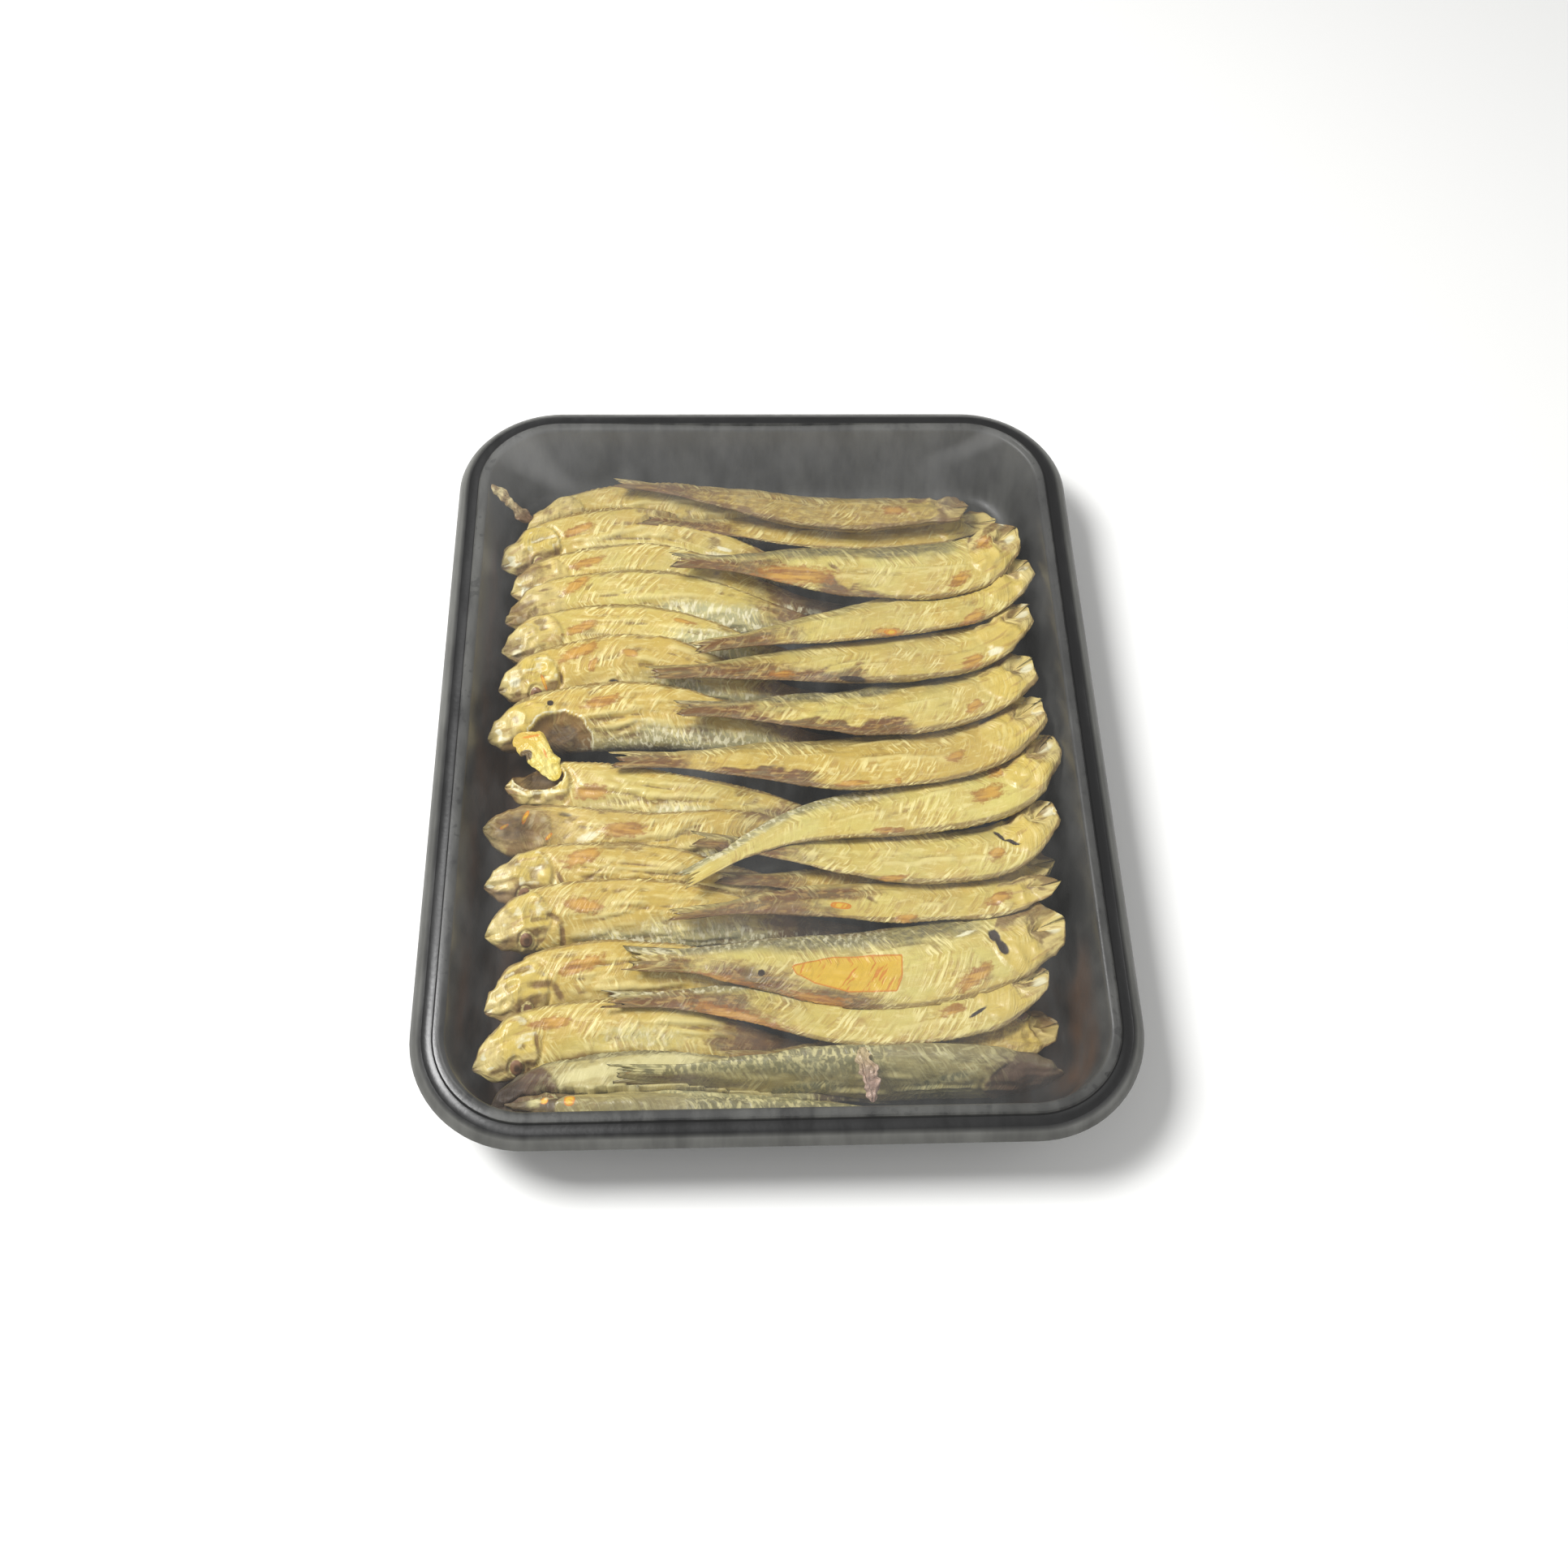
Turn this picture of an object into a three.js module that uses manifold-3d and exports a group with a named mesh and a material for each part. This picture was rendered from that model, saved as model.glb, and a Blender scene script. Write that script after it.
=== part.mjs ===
// A sealed tray of smoked sprats: a black thermoformed tray, a clear lidding film and two
// shingled columns of whole fish, heads to the long walls and tails crossing in the middle.
// Millimetres, +Z up, +Y to the back. The origin is under the middle of the tray.

import * as THREE from 'three';
import { mergeVertices } from 'three/addons/utils/BufferGeometryUtils.js';
import Module from 'manifold-3d';

// ---------------------------------------------------------------- driving dimensions

const TRAY_WIDTH = 177.8;
const TRAY_LENGTH = 226;
const TRAY_HEIGHT = 25;
const TRAY_CORNER_RADIUS = 29;
const TRAY_WALL = 0.9;
const WALL_TAPER = THREE.MathUtils.degToRad(9);
const BACK_BOW = 1.3; // how far the back edge bends in at its middle
const CORNER_STEPS = 6;
const SIDE_STEPS = 4;

const LIP_WIDTH = 3.2;
const LIP_DROP = 2.8;
const GROOVE_WIDTH = 2.4;
const GROOVE_DEPTH = 0.7;
const FLANGE_INSET = 8.6; // from the lip's edge to the top of the inner wall
const SHOULDER_ROUND = 0.8;
const FLOOR_FILLET = 4;

const FILM_THICKNESS = 0.3;
const FILM_GAP = 0.1;

const CLEARANCE = 0.35; // between one fish and the next, and to the tray
const SECTION_SIDES = 10;
const KEEL = 0.3; // how much thinner the belly's edge is than the back

// How depth and thickness run from the snout, at 0, to the tips of the tail fin, at 1.
const BODY_PROFILE = [
  { at: 0, depth: 0.28, thickness: 0.26 },
  { at: 0.03, depth: 0.55, thickness: 0.56 },
  { at: 0.08, depth: 0.74, thickness: 0.78 },
  { at: 0.15, depth: 0.88, thickness: 0.94 },
  { at: 0.25, depth: 0.97, thickness: 1 },
  { at: 0.37, depth: 1, thickness: 1 },
  { at: 0.5, depth: 0.92, thickness: 0.9 },
  { at: 0.62, depth: 0.74, thickness: 0.68 },
  { at: 0.74, depth: 0.5, thickness: 0.44 },
  { at: 0.83, depth: 0.33, thickness: 0.28 },
  { at: 0.88, depth: 0.32, thickness: 0.18 },
  { at: 0.93, depth: 0.5, thickness: 0.14 },
];
const FORK_LENGTH = 0.07; // how far the two tips of the tail fin reach past its notch

// Where along a fish its spine is given, and the height of each column's spine there.
const SPINE_STATIONS = [0, 0.15, 0.42, 0.7, 1];
const RIGHT_HEIGHTS = [16, 13, 11, 13.5, 17];
const LEFT_HEIGHTS = [14, 11.5, 10, 7.5, 3.5];

const BODY_DEPTH = 18;
const BODY_THICKNESS = 8.5;
const BODY_TILT = 25; // degrees, the belly raised over the next fish

// Every fish from the top of the heap down. The nose and tail are X, and y is the spine's Y at
// the stations. A fish with its nose at +X has its back to the back wall, one at -X to the front.
const FISH = [
  { name: 'fish_r03', nose: 74.5, tail: -28, y: [71.5, 61, 60, 61, 61], depth: 18.5, tilt: 10, lift: 1.5 },
  { name: 'fish_r01', nose: 60, tail: -45, y: [80, 80.5, 81.5, 86.5, 89.5], depth: 15.5, tilt: 28, lift: 2 },
  { name: 'fish_r02', nose: 69, tail: -38, y: [79, 78.5, 78.5, 79, 80], depth: 15, thickness: 7, tilt: 20,
    lift: -3.5 },
  { name: 'fish_r04', nose: 77.5, tail: -22, y: [61, 50, 45, 38.5, 31] },
  { name: 'fish_r05', nose: 76, tail: -34.5, y: [45, 33, 30, 26.5, 23] },
  { name: 'fish_r06', nose: 75, tail: -26.5, y: [26.5, 17.3, 11.3, 10.2, 10.5] },
  { name: 'fish_r07', nose: 76, tail: -44, y: [12.5, 1, -3.7, -3.4, -5], depth: 19 },
  { name: 'fish_r08', nose: 77.5, tail: -24.5, y: [0.7, -13.4, -18.5, -24.5, -41.5] },
  { name: 'fish_r09', nose: 75, tail: -22, y: [-20, -31.3, -32.6, -31, -29] },
  { name: 'fish_r10', nose: 74, tail: -28, y: [-43, -45.8, -45.6, -46.4, -51], depth: 12.5, thickness: 6.5 },
  { name: 'fish_r11', nose: 74, tail: -39, y: [-54.5, -60, -64.5, -63.2, -62.5], depth: 21.5, thickness: 9.5,
    tilt: 12 },
  { name: 'fish_r12', nose: 68, tail: -44, y: [-68.6, -75.6, -77.6, -73.6, -73.5], depth: 17 },
  { name: 'fish_b01', nose: 69, tail: -42, y: [-95, -93, -91.5, -92, -92.5], depth: 16, tilt: -65, lift: -1 },
  { name: 'fish_b02', nose: -66, tail: 45, y: [-99, -99.5, -99.5, -99.5, -99.5], depth: 15, tilt: -75,
    lift: -0.5 },
  { name: 'fish_r13', nose: 70, tail: -14, y: [-81, -83, -85, -87, -88], depth: 16, lift: -4 },
  { name: 'fish_r14', nose: 74.5, tail: -16, y: [-34.5, -36, -38, -38, -38], depth: 14, thickness: 7,
    lift: -5 },
  { name: 'fish_l14', nose: -70, tail: 28, y: [-99, -96.5, -94, -94, -94] },
  { name: 'fish_l13', nose: -75, tail: 25, y: [-88.5, -82.5, -81, -84, -87] },
  { name: 'fish_l12', nose: -73, tail: 25, y: [-74, -67, -64.5, -67, -68] },
  { name: 'fish_l11', nose: -74, tail: 24, y: [-53.5, -49, -47, -48.5, -52] },
  { name: 'fish_l10', nose: -75, tail: 27, y: [-39.5, -37, -37.5, -41, -42] },
  { name: 'fish_l09', nose: -76, tail: 26, y: [-22.5, -24.5, -27.5, -22.5, -26] },
  { name: 'fish_l08', nose: -71, tail: 28, y: [-9.5, -8.5, -12.5, -16, -21] },
  { name: 'fish_l07', nose: -77, tail: 26, y: [5, 10.5, 14, 9.5, 6] },
  { name: 'fish_l06', nose: -75, tail: 22, y: [21, 25.5, 30, 24, 20.5] },
  { name: 'fish_l05', nose: -75, tail: 27, y: [34, 38.5, 39.4, 34.5, 30] },
  { name: 'fish_l04', nose: -74.5, tail: 27, y: [44, 49.5, 52.5, 49.5, 44] },
  { name: 'fish_l03', nose: -73.5, tail: 25, y: [54, 58.5, 62, 56.5, 52] },
  { name: 'fish_l02', nose: -77, tail: 28, y: [63.5, 71.5, 75, 67.5, 62] },
  { name: 'fish_l01', nose: -70, tail: 32, y: [77, 81.5, 85, 83, 81] },
];

// Loose bits on top of the fish, as a curve with half its width and thickness at the middle.
const SCRAPS = [
  { name: 'gill_cover', route: [[-70, 4, 15.5], [-64, -1, 16.5], [-57, -9, 15]], wide: 3.4, thick: 0.6 },
  { name: 'flesh_scrap', route: [[24, -87, 17], [22, -92, 19], [20, -100, 16.5]], wide: 1.8, thick: 0.7 },
  { name: 'corner_scrap', route: [[-68, 79, 13], [-75.5, 82.5, 19], [-79.5, 84.5, 24]], wide: 2.2, thick: 0.8 },
];
const SCRAP_STATIONS = [0.02, 0.25, 0.5, 0.75, 0.98];
const SCRAP_SIDES = 8;

// Where a gill cover is torn off and leaves an open hollow in the head.
const HOLLOWS = {
  fish_l07: { at: [-58, 8.3, 15.5], radii: [6.6, 4.6, 4] },
  fish_l08: { at: [-62.5, -7, 15], radii: [6, 3.2, 4] },
};

// ---------------------------------------------------------------- materials

const material = (color, roughness) => new THREE.MeshStandardMaterial({ color, roughness, metalness: 0 });
const TRAY_PLASTIC = material(0x343433, 0.45);
const FILM_PLASTIC = material(0xc9ccc6, 0.15);
const GOLDEN_SKIN = material(0xc8b66c, 0.4);
const GREY_SKIN = material(0x77765c, 0.35);
const BROWN_SKIN = material(0x9a7a4c, 0.45);
const GREY_FISH = ['fish_b01', 'fish_b02'];

// ---------------------------------------------------------------- helpers

// Joins rings of equally many points into one closed surface, with a fan over each end.
function loft(rings) {
  const sides = rings[0].length;
  const points = rings.flat();
  const triangles = [];
  for (let ring = 0; ring + 1 < rings.length; ring += 1) {
    for (let side = 0; side < sides; side += 1) {
      const next = (side + 1) % sides;
      const a = ring * sides + side;
      const b = ring * sides + next;
      triangles.push(a, b, b + sides, a, b + sides, a + sides);
    }
  }
  const middle = (ring) => ring
    .reduce((sum, point) => sum.add(point), new THREE.Vector3())
    .divideScalar(ring.length);
  const last = (rings.length - 1) * sides;
  const first = points.push(middle(rings[0])) - 1;
  const end = points.push(middle(rings.at(-1))) - 1;
  for (let side = 0; side < sides; side += 1) {
    const next = (side + 1) % sides;
    triangles.push(first, next, side, end, last + side, last + next);
  }
  const geometry = new THREE.BufferGeometry().setFromPoints(points);
  geometry.setIndex(triangles);
  return geometry;
}

const wasm = await Module();
wasm.setup();

function toSolid(geometry) {
  const bare = mergeVertices(geometry.clone().deleteAttribute('normal').deleteAttribute('uv'));
  return new wasm.Manifold(new wasm.Mesh({
    numProp: 3,
    vertProperties: new Float32Array(bare.attributes.position.array),
    triVerts: new Uint32Array(bare.index.array),
  }));
}

function toGeometry(solid) {
  const { vertProperties, triVerts } = solid.getMesh();
  const geometry = new THREE.BufferGeometry();
  geometry.setAttribute('position', new THREE.BufferAttribute(new Float32Array(vertProperties), 3));
  geometry.setIndex(new THREE.BufferAttribute(new Uint32Array(triVerts), 1));
  geometry.computeVertexNormals();
  return geometry;
}

function namedMesh(name, geometry, skin) {
  const mesh = new THREE.Mesh(geometry, skin);
  mesh.name = name;
  return mesh;
}

// ---------------------------------------------------------------- tray and film

// A rounded rectangle at one height, inside the tray's outer edge by the inset.
function trayRing(inset, z) {
  const halfWidth = TRAY_WIDTH / 2 - inset;
  const halfLength = TRAY_LENGTH / 2 - inset;
  const radius = Math.max(TRAY_CORNER_RADIUS - inset, 10);
  const corners = [[1, 1], [-1, 1], [-1, -1], [1, -1]];
  const ring = [];
  corners.forEach(([signX, signY], corner) => {
    const centreX = signX * (halfWidth - radius);
    const centreY = signY * (halfLength - radius);
    for (let step = 0; step <= CORNER_STEPS; step += 1) {
      const angle = (corner + step / CORNER_STEPS) * Math.PI / 2;
      const x = centreX + radius * Math.cos(angle);
      const y = centreY + radius * Math.sin(angle);
      ring.push(new THREE.Vector3(x, y, z));
    }
    const [nextX, nextY] = corners[(corner + 1) % corners.length];
    const from = ring.at(-1);
    const along = corner % 2 === 0;
    const to = new THREE.Vector3(
      nextX * (along ? halfWidth - radius : halfWidth),
      nextY * (along ? halfLength : halfLength - radius),
      z,
    );
    for (let step = 1; step < SIDE_STEPS; step += 1) {
      ring.push(from.clone().lerp(to, step / SIDE_STEPS));
    }
  });
  ring.filter((point) => point.y > 0).forEach((point) => {
    const across = THREE.MathUtils.clamp(point.x / (halfWidth - radius), -1, 1);
    point.y -= BACK_BOW * Math.cos(across * Math.PI / 2) ** 2 * (point.y / halfLength) ** 4;
  });
  return ring;
}

// The tray's section from the middle of the floor up the wall and out to the lip.
function traySection(floor) {
  const foot = FLANGE_INSET + (TRAY_HEIGHT - floor) * Math.tan(WALL_TAPER);
  const filletTop = floor + FLOOR_FILLET;
  const wallInset = (z) => FLANGE_INSET + (TRAY_HEIGHT - z) * Math.tan(WALL_TAPER);
  return [
    [foot + FLOOR_FILLET, floor],
    [foot + FLOOR_FILLET * 0.3, floor + FLOOR_FILLET * 0.28],
    [wallInset(filletTop), filletTop],
    [wallInset(TRAY_HEIGHT - SHOULDER_ROUND), TRAY_HEIGHT - SHOULDER_ROUND],
    [FLANGE_INSET - SHOULDER_ROUND, TRAY_HEIGHT],
  ];
}

function tray() {
  const grooveOut = LIP_WIDTH;
  const grooveIn = LIP_WIDTH + GROOVE_WIDTH;
  const top = [
    ...traySection(TRAY_WALL),
    [grooveIn + GROOVE_DEPTH / 2, TRAY_HEIGHT],
    [grooveIn, TRAY_HEIGHT - GROOVE_DEPTH],
    [grooveOut, TRAY_HEIGHT - GROOVE_DEPTH],
    [0, TRAY_HEIGHT - LIP_DROP],
  ];
  const underside = [
    [0.1, TRAY_HEIGHT - LIP_DROP - TRAY_WALL],
    [grooveOut + TRAY_WALL / 2, TRAY_HEIGHT - GROOVE_DEPTH - TRAY_WALL],
    [FLANGE_INSET - SHOULDER_ROUND - TRAY_WALL, TRAY_HEIGHT - GROOVE_DEPTH - TRAY_WALL],
    [FLANGE_INSET + FLOOR_FILLET * 0.7 - TRAY_WALL, FLOOR_FILLET],
    [FLANGE_INSET + FLOOR_FILLET * 1.3 - TRAY_WALL, FLOOR_FILLET * 0.28],
    [FLANGE_INSET + FLOOR_FILLET * 2, 0],
  ];
  const rings = [...top, ...underside].map(([inset, z]) => trayRing(inset, z));
  return loft(rings.reverse());
}

function film() {
  const inset = LIP_WIDTH + GROOVE_WIDTH + GROOVE_DEPTH;
  const bottom = TRAY_HEIGHT + FILM_GAP;
  return loft([trayRing(inset, bottom), trayRing(inset, bottom + FILM_THICKNESS)]);
}

// The room that the tray leaves for the fish.
function well() {
  const inside = traySection(TRAY_WALL).slice(0, -1);
  return loft(inside.map(([inset, z]) => trayRing(inset + CLEARANCE, z + CLEARANCE)));
}

// ---------------------------------------------------------------- fish

const shapeOf = (fish) => ({
  depth: BODY_DEPTH, thickness: BODY_THICKNESS, tilt: BODY_TILT, lift: 0, ...fish,
});

function spineOf(fish) {
  const heights = fish.nose > 0 ? RIGHT_HEIGHTS : LEFT_HEIGHTS;
  return new THREE.CatmullRomCurve3(SPINE_STATIONS.map((station, index) => new THREE.Vector3(
    THREE.MathUtils.lerp(fish.nose, fish.tail, station),
    fish.y[index],
    heights[index] + fish.lift,
  )));
}

// One fish, from the snout to the forked tail, as sections across its spine.
function fishGeometry(fish, grow) {
  const spine = spineOf(fish);
  const length = spine.getLength();
  const backSide = Math.sign(fish.nose);
  const tilt = THREE.MathUtils.degToRad(fish.tilt);
  const place = (station, across, out) => {
    const inside = THREE.MathUtils.clamp(station, 0, 1);
    const along = spine.getTangentAt(inside);
    const point = spine.getPointAt(inside).addScaledVector(along, (station - inside) * length);
    const level = new THREE.Vector3(-along.y, along.x, 0).normalize();
    level.multiplyScalar(Math.sign(level.y) * backSide);
    const up = new THREE.Vector3(0, 0, 1);
    const turn = tilt * (1 - 0.5 * Math.max(station - 0.5, 0));
    const back = level.clone().multiplyScalar(Math.cos(turn)).addScaledVector(up, -Math.sin(turn));
    const flank = level.clone().multiplyScalar(Math.sin(turn)).addScaledVector(up, Math.cos(turn));
    return point.addScaledVector(back, across).addScaledVector(flank, out);
  };
  const rings = BODY_PROFILE.map((section, index) => {
    const halfDepth = section.depth * fish.depth / 2 + grow;
    const halfThickness = section.thickness * fish.thickness / 2 + grow;
    const isTail = index === BODY_PROFILE.length - 1;
    const end = index === 0 ? -1 : Number(isTail);
    const overhang = end * 2 * grow / length;
    return Array.from({ length: SECTION_SIDES }, (_, side) => {
      const angle = -side / SECTION_SIDES * 2 * Math.PI;
      const across = Math.cos(angle);
      const keel = 1 - KEEL * (1 - across) / 2;
      const fork = isTail ? FORK_LENGTH * Math.abs(across) : 0;
      return place(section.at + fork + overhang, halfDepth * across, halfThickness * keel * Math.sin(angle));
    });
  });
  return loft(rings);
}

// A narrow flake of skin or flesh along its route, widest at the middle.
function scrapGeometry(scrap, grow) {
  const route = new THREE.CatmullRomCurve3(scrap.route.map((point) => new THREE.Vector3(...point)));
  const up = new THREE.Vector3(0, 0, 1);
  return loft(SCRAP_STATIONS.map((station) => {
    const point = route.getPointAt(station);
    const along = route.getTangentAt(station);
    const across = new THREE.Vector3().crossVectors(up, along).normalize();
    const out = new THREE.Vector3().crossVectors(along, across);
    const swell = Math.sqrt(Math.sin(station * Math.PI));
    return Array.from({ length: SCRAP_SIDES }, (_, side) => {
      const angle = side / SCRAP_SIDES * 2 * Math.PI;
      return point.clone()
        .addScaledVector(across, (scrap.wide * swell + grow) * Math.cos(angle))
        .addScaledVector(out, (scrap.thick * swell + grow) * Math.sin(angle));
    });
  }));
}

function hollow({ at, radii }) {
  const ball = new THREE.SphereGeometry(1, 12, 8);
  return toSolid(ball.scale(...radii).translate(...at));
}

function skinOf(name) {
  return GREY_FISH.includes(name) ? GREY_SKIN : GOLDEN_SKIN;
}

// Each piece gives way to the ones above it. Only its largest part is kept.
function heap() {
  const room = toSolid(well());
  const above = [];
  const lay = (name, bare, grown, skin) => {
    const body = above.reduce((rest, neighbour) => rest.subtract(neighbour), bare.intersect(room));
    above.push(grown);
    const parts = body.decompose().sort((a, b) => b.volume() - a.volume());
    return namedMesh(name, toGeometry(parts[0]), skin);
  };
  const scraps = SCRAPS.map((scrap) => lay(
    scrap.name,
    toSolid(scrapGeometry(scrap, 0)),
    toSolid(scrapGeometry(scrap, CLEARANCE)),
    BROWN_SKIN,
  ));
  const fishes = FISH.map(shapeOf).map((fish) => {
    const whole = toSolid(fishGeometry(fish, 0));
    const bare = HOLLOWS[fish.name] ? whole.subtract(hollow(HOLLOWS[fish.name])) : whole;
    return lay(fish.name, bare, toSolid(fishGeometry(fish, CLEARANCE)), skinOf(fish.name));
  });
  return [...scraps, ...fishes];
}

// ---------------------------------------------------------------- the sealed tray

const pack = new THREE.Group();
pack.add(namedMesh('tray', tray(), TRAY_PLASTIC));
pack.add(namedMesh('lid_film', film(), FILM_PLASTIC));
pack.add(...heap());

export default pack;
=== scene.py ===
"""The looks of a sealed tray of smoked sprats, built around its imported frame.

Each fish is a grid wrapped round its spine, with the gill cover, eye, jaw, fins and wrinkles as
relief. The fish are laid from the top of the heap down, and each one gives way to those above it.
Lengths are metres. Places on the fish are given in millimetres and multiplied by MM.
"""

import logging
import math
from dataclasses import dataclass, field
from enum import Enum
from typing import Any

import bpy
import numpy as np
from mathutils import Matrix, Vector
from mathutils.bvhtree import BVHTree


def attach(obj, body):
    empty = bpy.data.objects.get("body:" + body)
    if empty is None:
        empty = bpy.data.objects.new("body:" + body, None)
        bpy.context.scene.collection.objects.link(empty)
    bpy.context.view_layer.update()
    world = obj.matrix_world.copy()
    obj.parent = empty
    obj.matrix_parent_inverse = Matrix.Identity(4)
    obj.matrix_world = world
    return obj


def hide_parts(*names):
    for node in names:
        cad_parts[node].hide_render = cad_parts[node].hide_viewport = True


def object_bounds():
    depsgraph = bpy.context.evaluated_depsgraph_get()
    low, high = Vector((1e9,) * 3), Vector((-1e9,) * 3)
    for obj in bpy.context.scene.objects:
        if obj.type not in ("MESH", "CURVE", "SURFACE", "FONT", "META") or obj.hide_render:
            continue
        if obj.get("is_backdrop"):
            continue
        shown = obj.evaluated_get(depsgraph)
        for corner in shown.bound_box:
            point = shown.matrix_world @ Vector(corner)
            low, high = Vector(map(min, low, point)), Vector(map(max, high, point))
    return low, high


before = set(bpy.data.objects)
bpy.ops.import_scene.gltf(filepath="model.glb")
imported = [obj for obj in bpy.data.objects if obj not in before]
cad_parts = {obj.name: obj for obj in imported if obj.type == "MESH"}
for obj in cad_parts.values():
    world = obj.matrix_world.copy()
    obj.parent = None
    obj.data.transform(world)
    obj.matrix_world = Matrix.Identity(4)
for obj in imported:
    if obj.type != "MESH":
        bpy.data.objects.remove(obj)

logging.basicConfig(level=logging.INFO, format="%(message)s")
LOG = logging.getLogger("sprats")

MM = 0.001
Colour = tuple[float, float, float, float]
Masks = dict[str, np.ndarray]


# ---------------------------------------------------------------- helpers


def srgb(red: int, green: int, blue: int) -> Colour:
    """The linear colour of a screen colour given from 0 to 255."""
    shares = (part / 255 for part in (red, green, blue))
    linear = (share / 12.92 if share <= 0.04045 else ((share + 0.055) / 1.055) ** 2.4 for share in shares)
    return (*linear, 1.0)


def smooth(low: float | np.ndarray, high: float | np.ndarray, value: np.ndarray) -> np.ndarray:
    """A soft step that is 0 up to low and 1 from high on."""
    share = np.clip((value - low) / (high - low), 0.0, 1.0)
    return share * share * (3 - 2 * share)


def band(value: np.ndarray, start: float, full: float, last: float, end: float) -> np.ndarray:
    """A soft band that rises from start to full and falls from last to end."""
    return smooth(start, full, value) * smooth(end, last, value)


def bell(distance: np.ndarray) -> np.ndarray:
    """A soft bump that is 1 at distance 0 and almost nothing at 2."""
    return np.exp(-distance * distance)


SEED_STEP = 374761393
AXIS_STEPS = np.array([668265263, 2147483647, 1274126177])
FIRST_STIR = 1103515245
SECOND_STIR = 69069
KEY_BITS = 0x7FFFFFFF
HALF_KEYS = 0x3FFFFFFF


def lattice_noise(points: np.ndarray, seed: int) -> np.ndarray:
    """Smooth noise from -1 to 1 over the plane or space.

    Args:
        points: one row for each point, in units of the noise's own cell.
        seed: picks the pattern.

    Returns:
        One value for each point.
    """
    cell = np.floor(points).astype(np.int64)
    part = points - cell
    part = part * part * (3 - 2 * part)
    total = np.zeros(len(points))
    axes = points.shape[1]
    for corner in range(2 ** axes):
        offset = np.array([corner >> axis & 1 for axis in range(axes)])
        key = seed * SEED_STEP + (cell + offset) @ AXIS_STEPS[:axes]
        key = (key ^ (key >> 13)) * FIRST_STIR & KEY_BITS
        key = (key ^ (key >> 16)) * SECOND_STIR & KEY_BITS
        weight = np.prod(np.where(offset == 1, part, 1 - part), axis=1)
        total += (key / HALF_KEYS - 1) * weight
    return total


def deselect() -> None:
    """Leaves nothing selected, because an operator acts on all that is."""
    if bpy.context.object and bpy.context.object.mode != "OBJECT":
        bpy.ops.object.mode_set(mode="OBJECT")
    bpy.ops.object.select_all(action="DESELECT")


def positions(mesh: bpy.types.Mesh) -> np.ndarray:
    """The places of a mesh's vertices, one row each."""
    values = np.empty(len(mesh.vertices) * 3)
    mesh.vertices.foreach_get("co", values)
    return values.reshape(-1, 3)


def place(mesh: bpy.types.Mesh, points: np.ndarray) -> None:
    """Moves a mesh's vertices to these places."""
    mesh.vertices.foreach_set("co", np.ascontiguousarray(points, dtype=np.float64).ravel())
    mesh.update()


def new_grid(name: str, rows: int, columns: int) -> bpy.types.Object:
    """A unit grid of that many faces along X and Y, as the start of a wrapped surface."""
    deselect()
    bpy.ops.mesh.primitive_grid_add(x_subdivisions=rows, y_subdivisions=columns, size=1)
    grid = bpy.context.object
    grid.name = grid.data.name = name
    return grid


def close_up(piece: bpy.types.Object) -> None:
    """Merges what meets, turns every face outwards and shades the piece smooth."""
    deselect()
    piece.select_set(True)
    bpy.context.view_layer.objects.active = piece
    bpy.ops.object.mode_set(mode="EDIT")
    bpy.ops.mesh.select_all(action="SELECT")
    bpy.ops.mesh.remove_doubles(threshold=0.01 * MM)
    bpy.ops.mesh.normals_make_consistent(inside=False)
    bpy.ops.object.mode_set(mode="OBJECT")
    bpy.ops.object.shade_smooth()


def thicken(piece: bpy.types.Object, thickness: float, offset: float) -> None:
    """Gives the active piece's surface a thickness: inwards at offset -1, half each way at 0."""
    solid = piece.modifiers.new("wall", "SOLIDIFY")
    solid.thickness = thickness
    solid.offset = offset
    bpy.ops.object.modifier_apply(modifier=solid.name)


def paint(mesh: bpy.types.Mesh, name: str, channels: list[np.ndarray]) -> None:
    """Keeps up to four masks as one colour attribute on the vertices."""
    layer = mesh.attributes.new(name, "FLOAT_COLOR", "POINT")
    values = np.ones((len(mesh.vertices), 4))
    for index, channel in enumerate(channels):
        values[:, index] = np.clip(channel, 0, 1)
    layer.data.foreach_set("color", values.ravel())


def hand_in(piece: bpy.types.Object, node: str, slot: str, finish: bpy.types.Material) -> None:
    """Dresses a piece, puts it in the place of its node and lets it ride with the pack."""
    piece.data.materials.clear()
    piece.data.materials.append(finish)
    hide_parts(node)
    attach(piece, "root")
    LOG.info("%s: %d faces", piece.name, len(piece.data.polygons))


# ---------------------------------------------------------------- shader helpers


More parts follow.
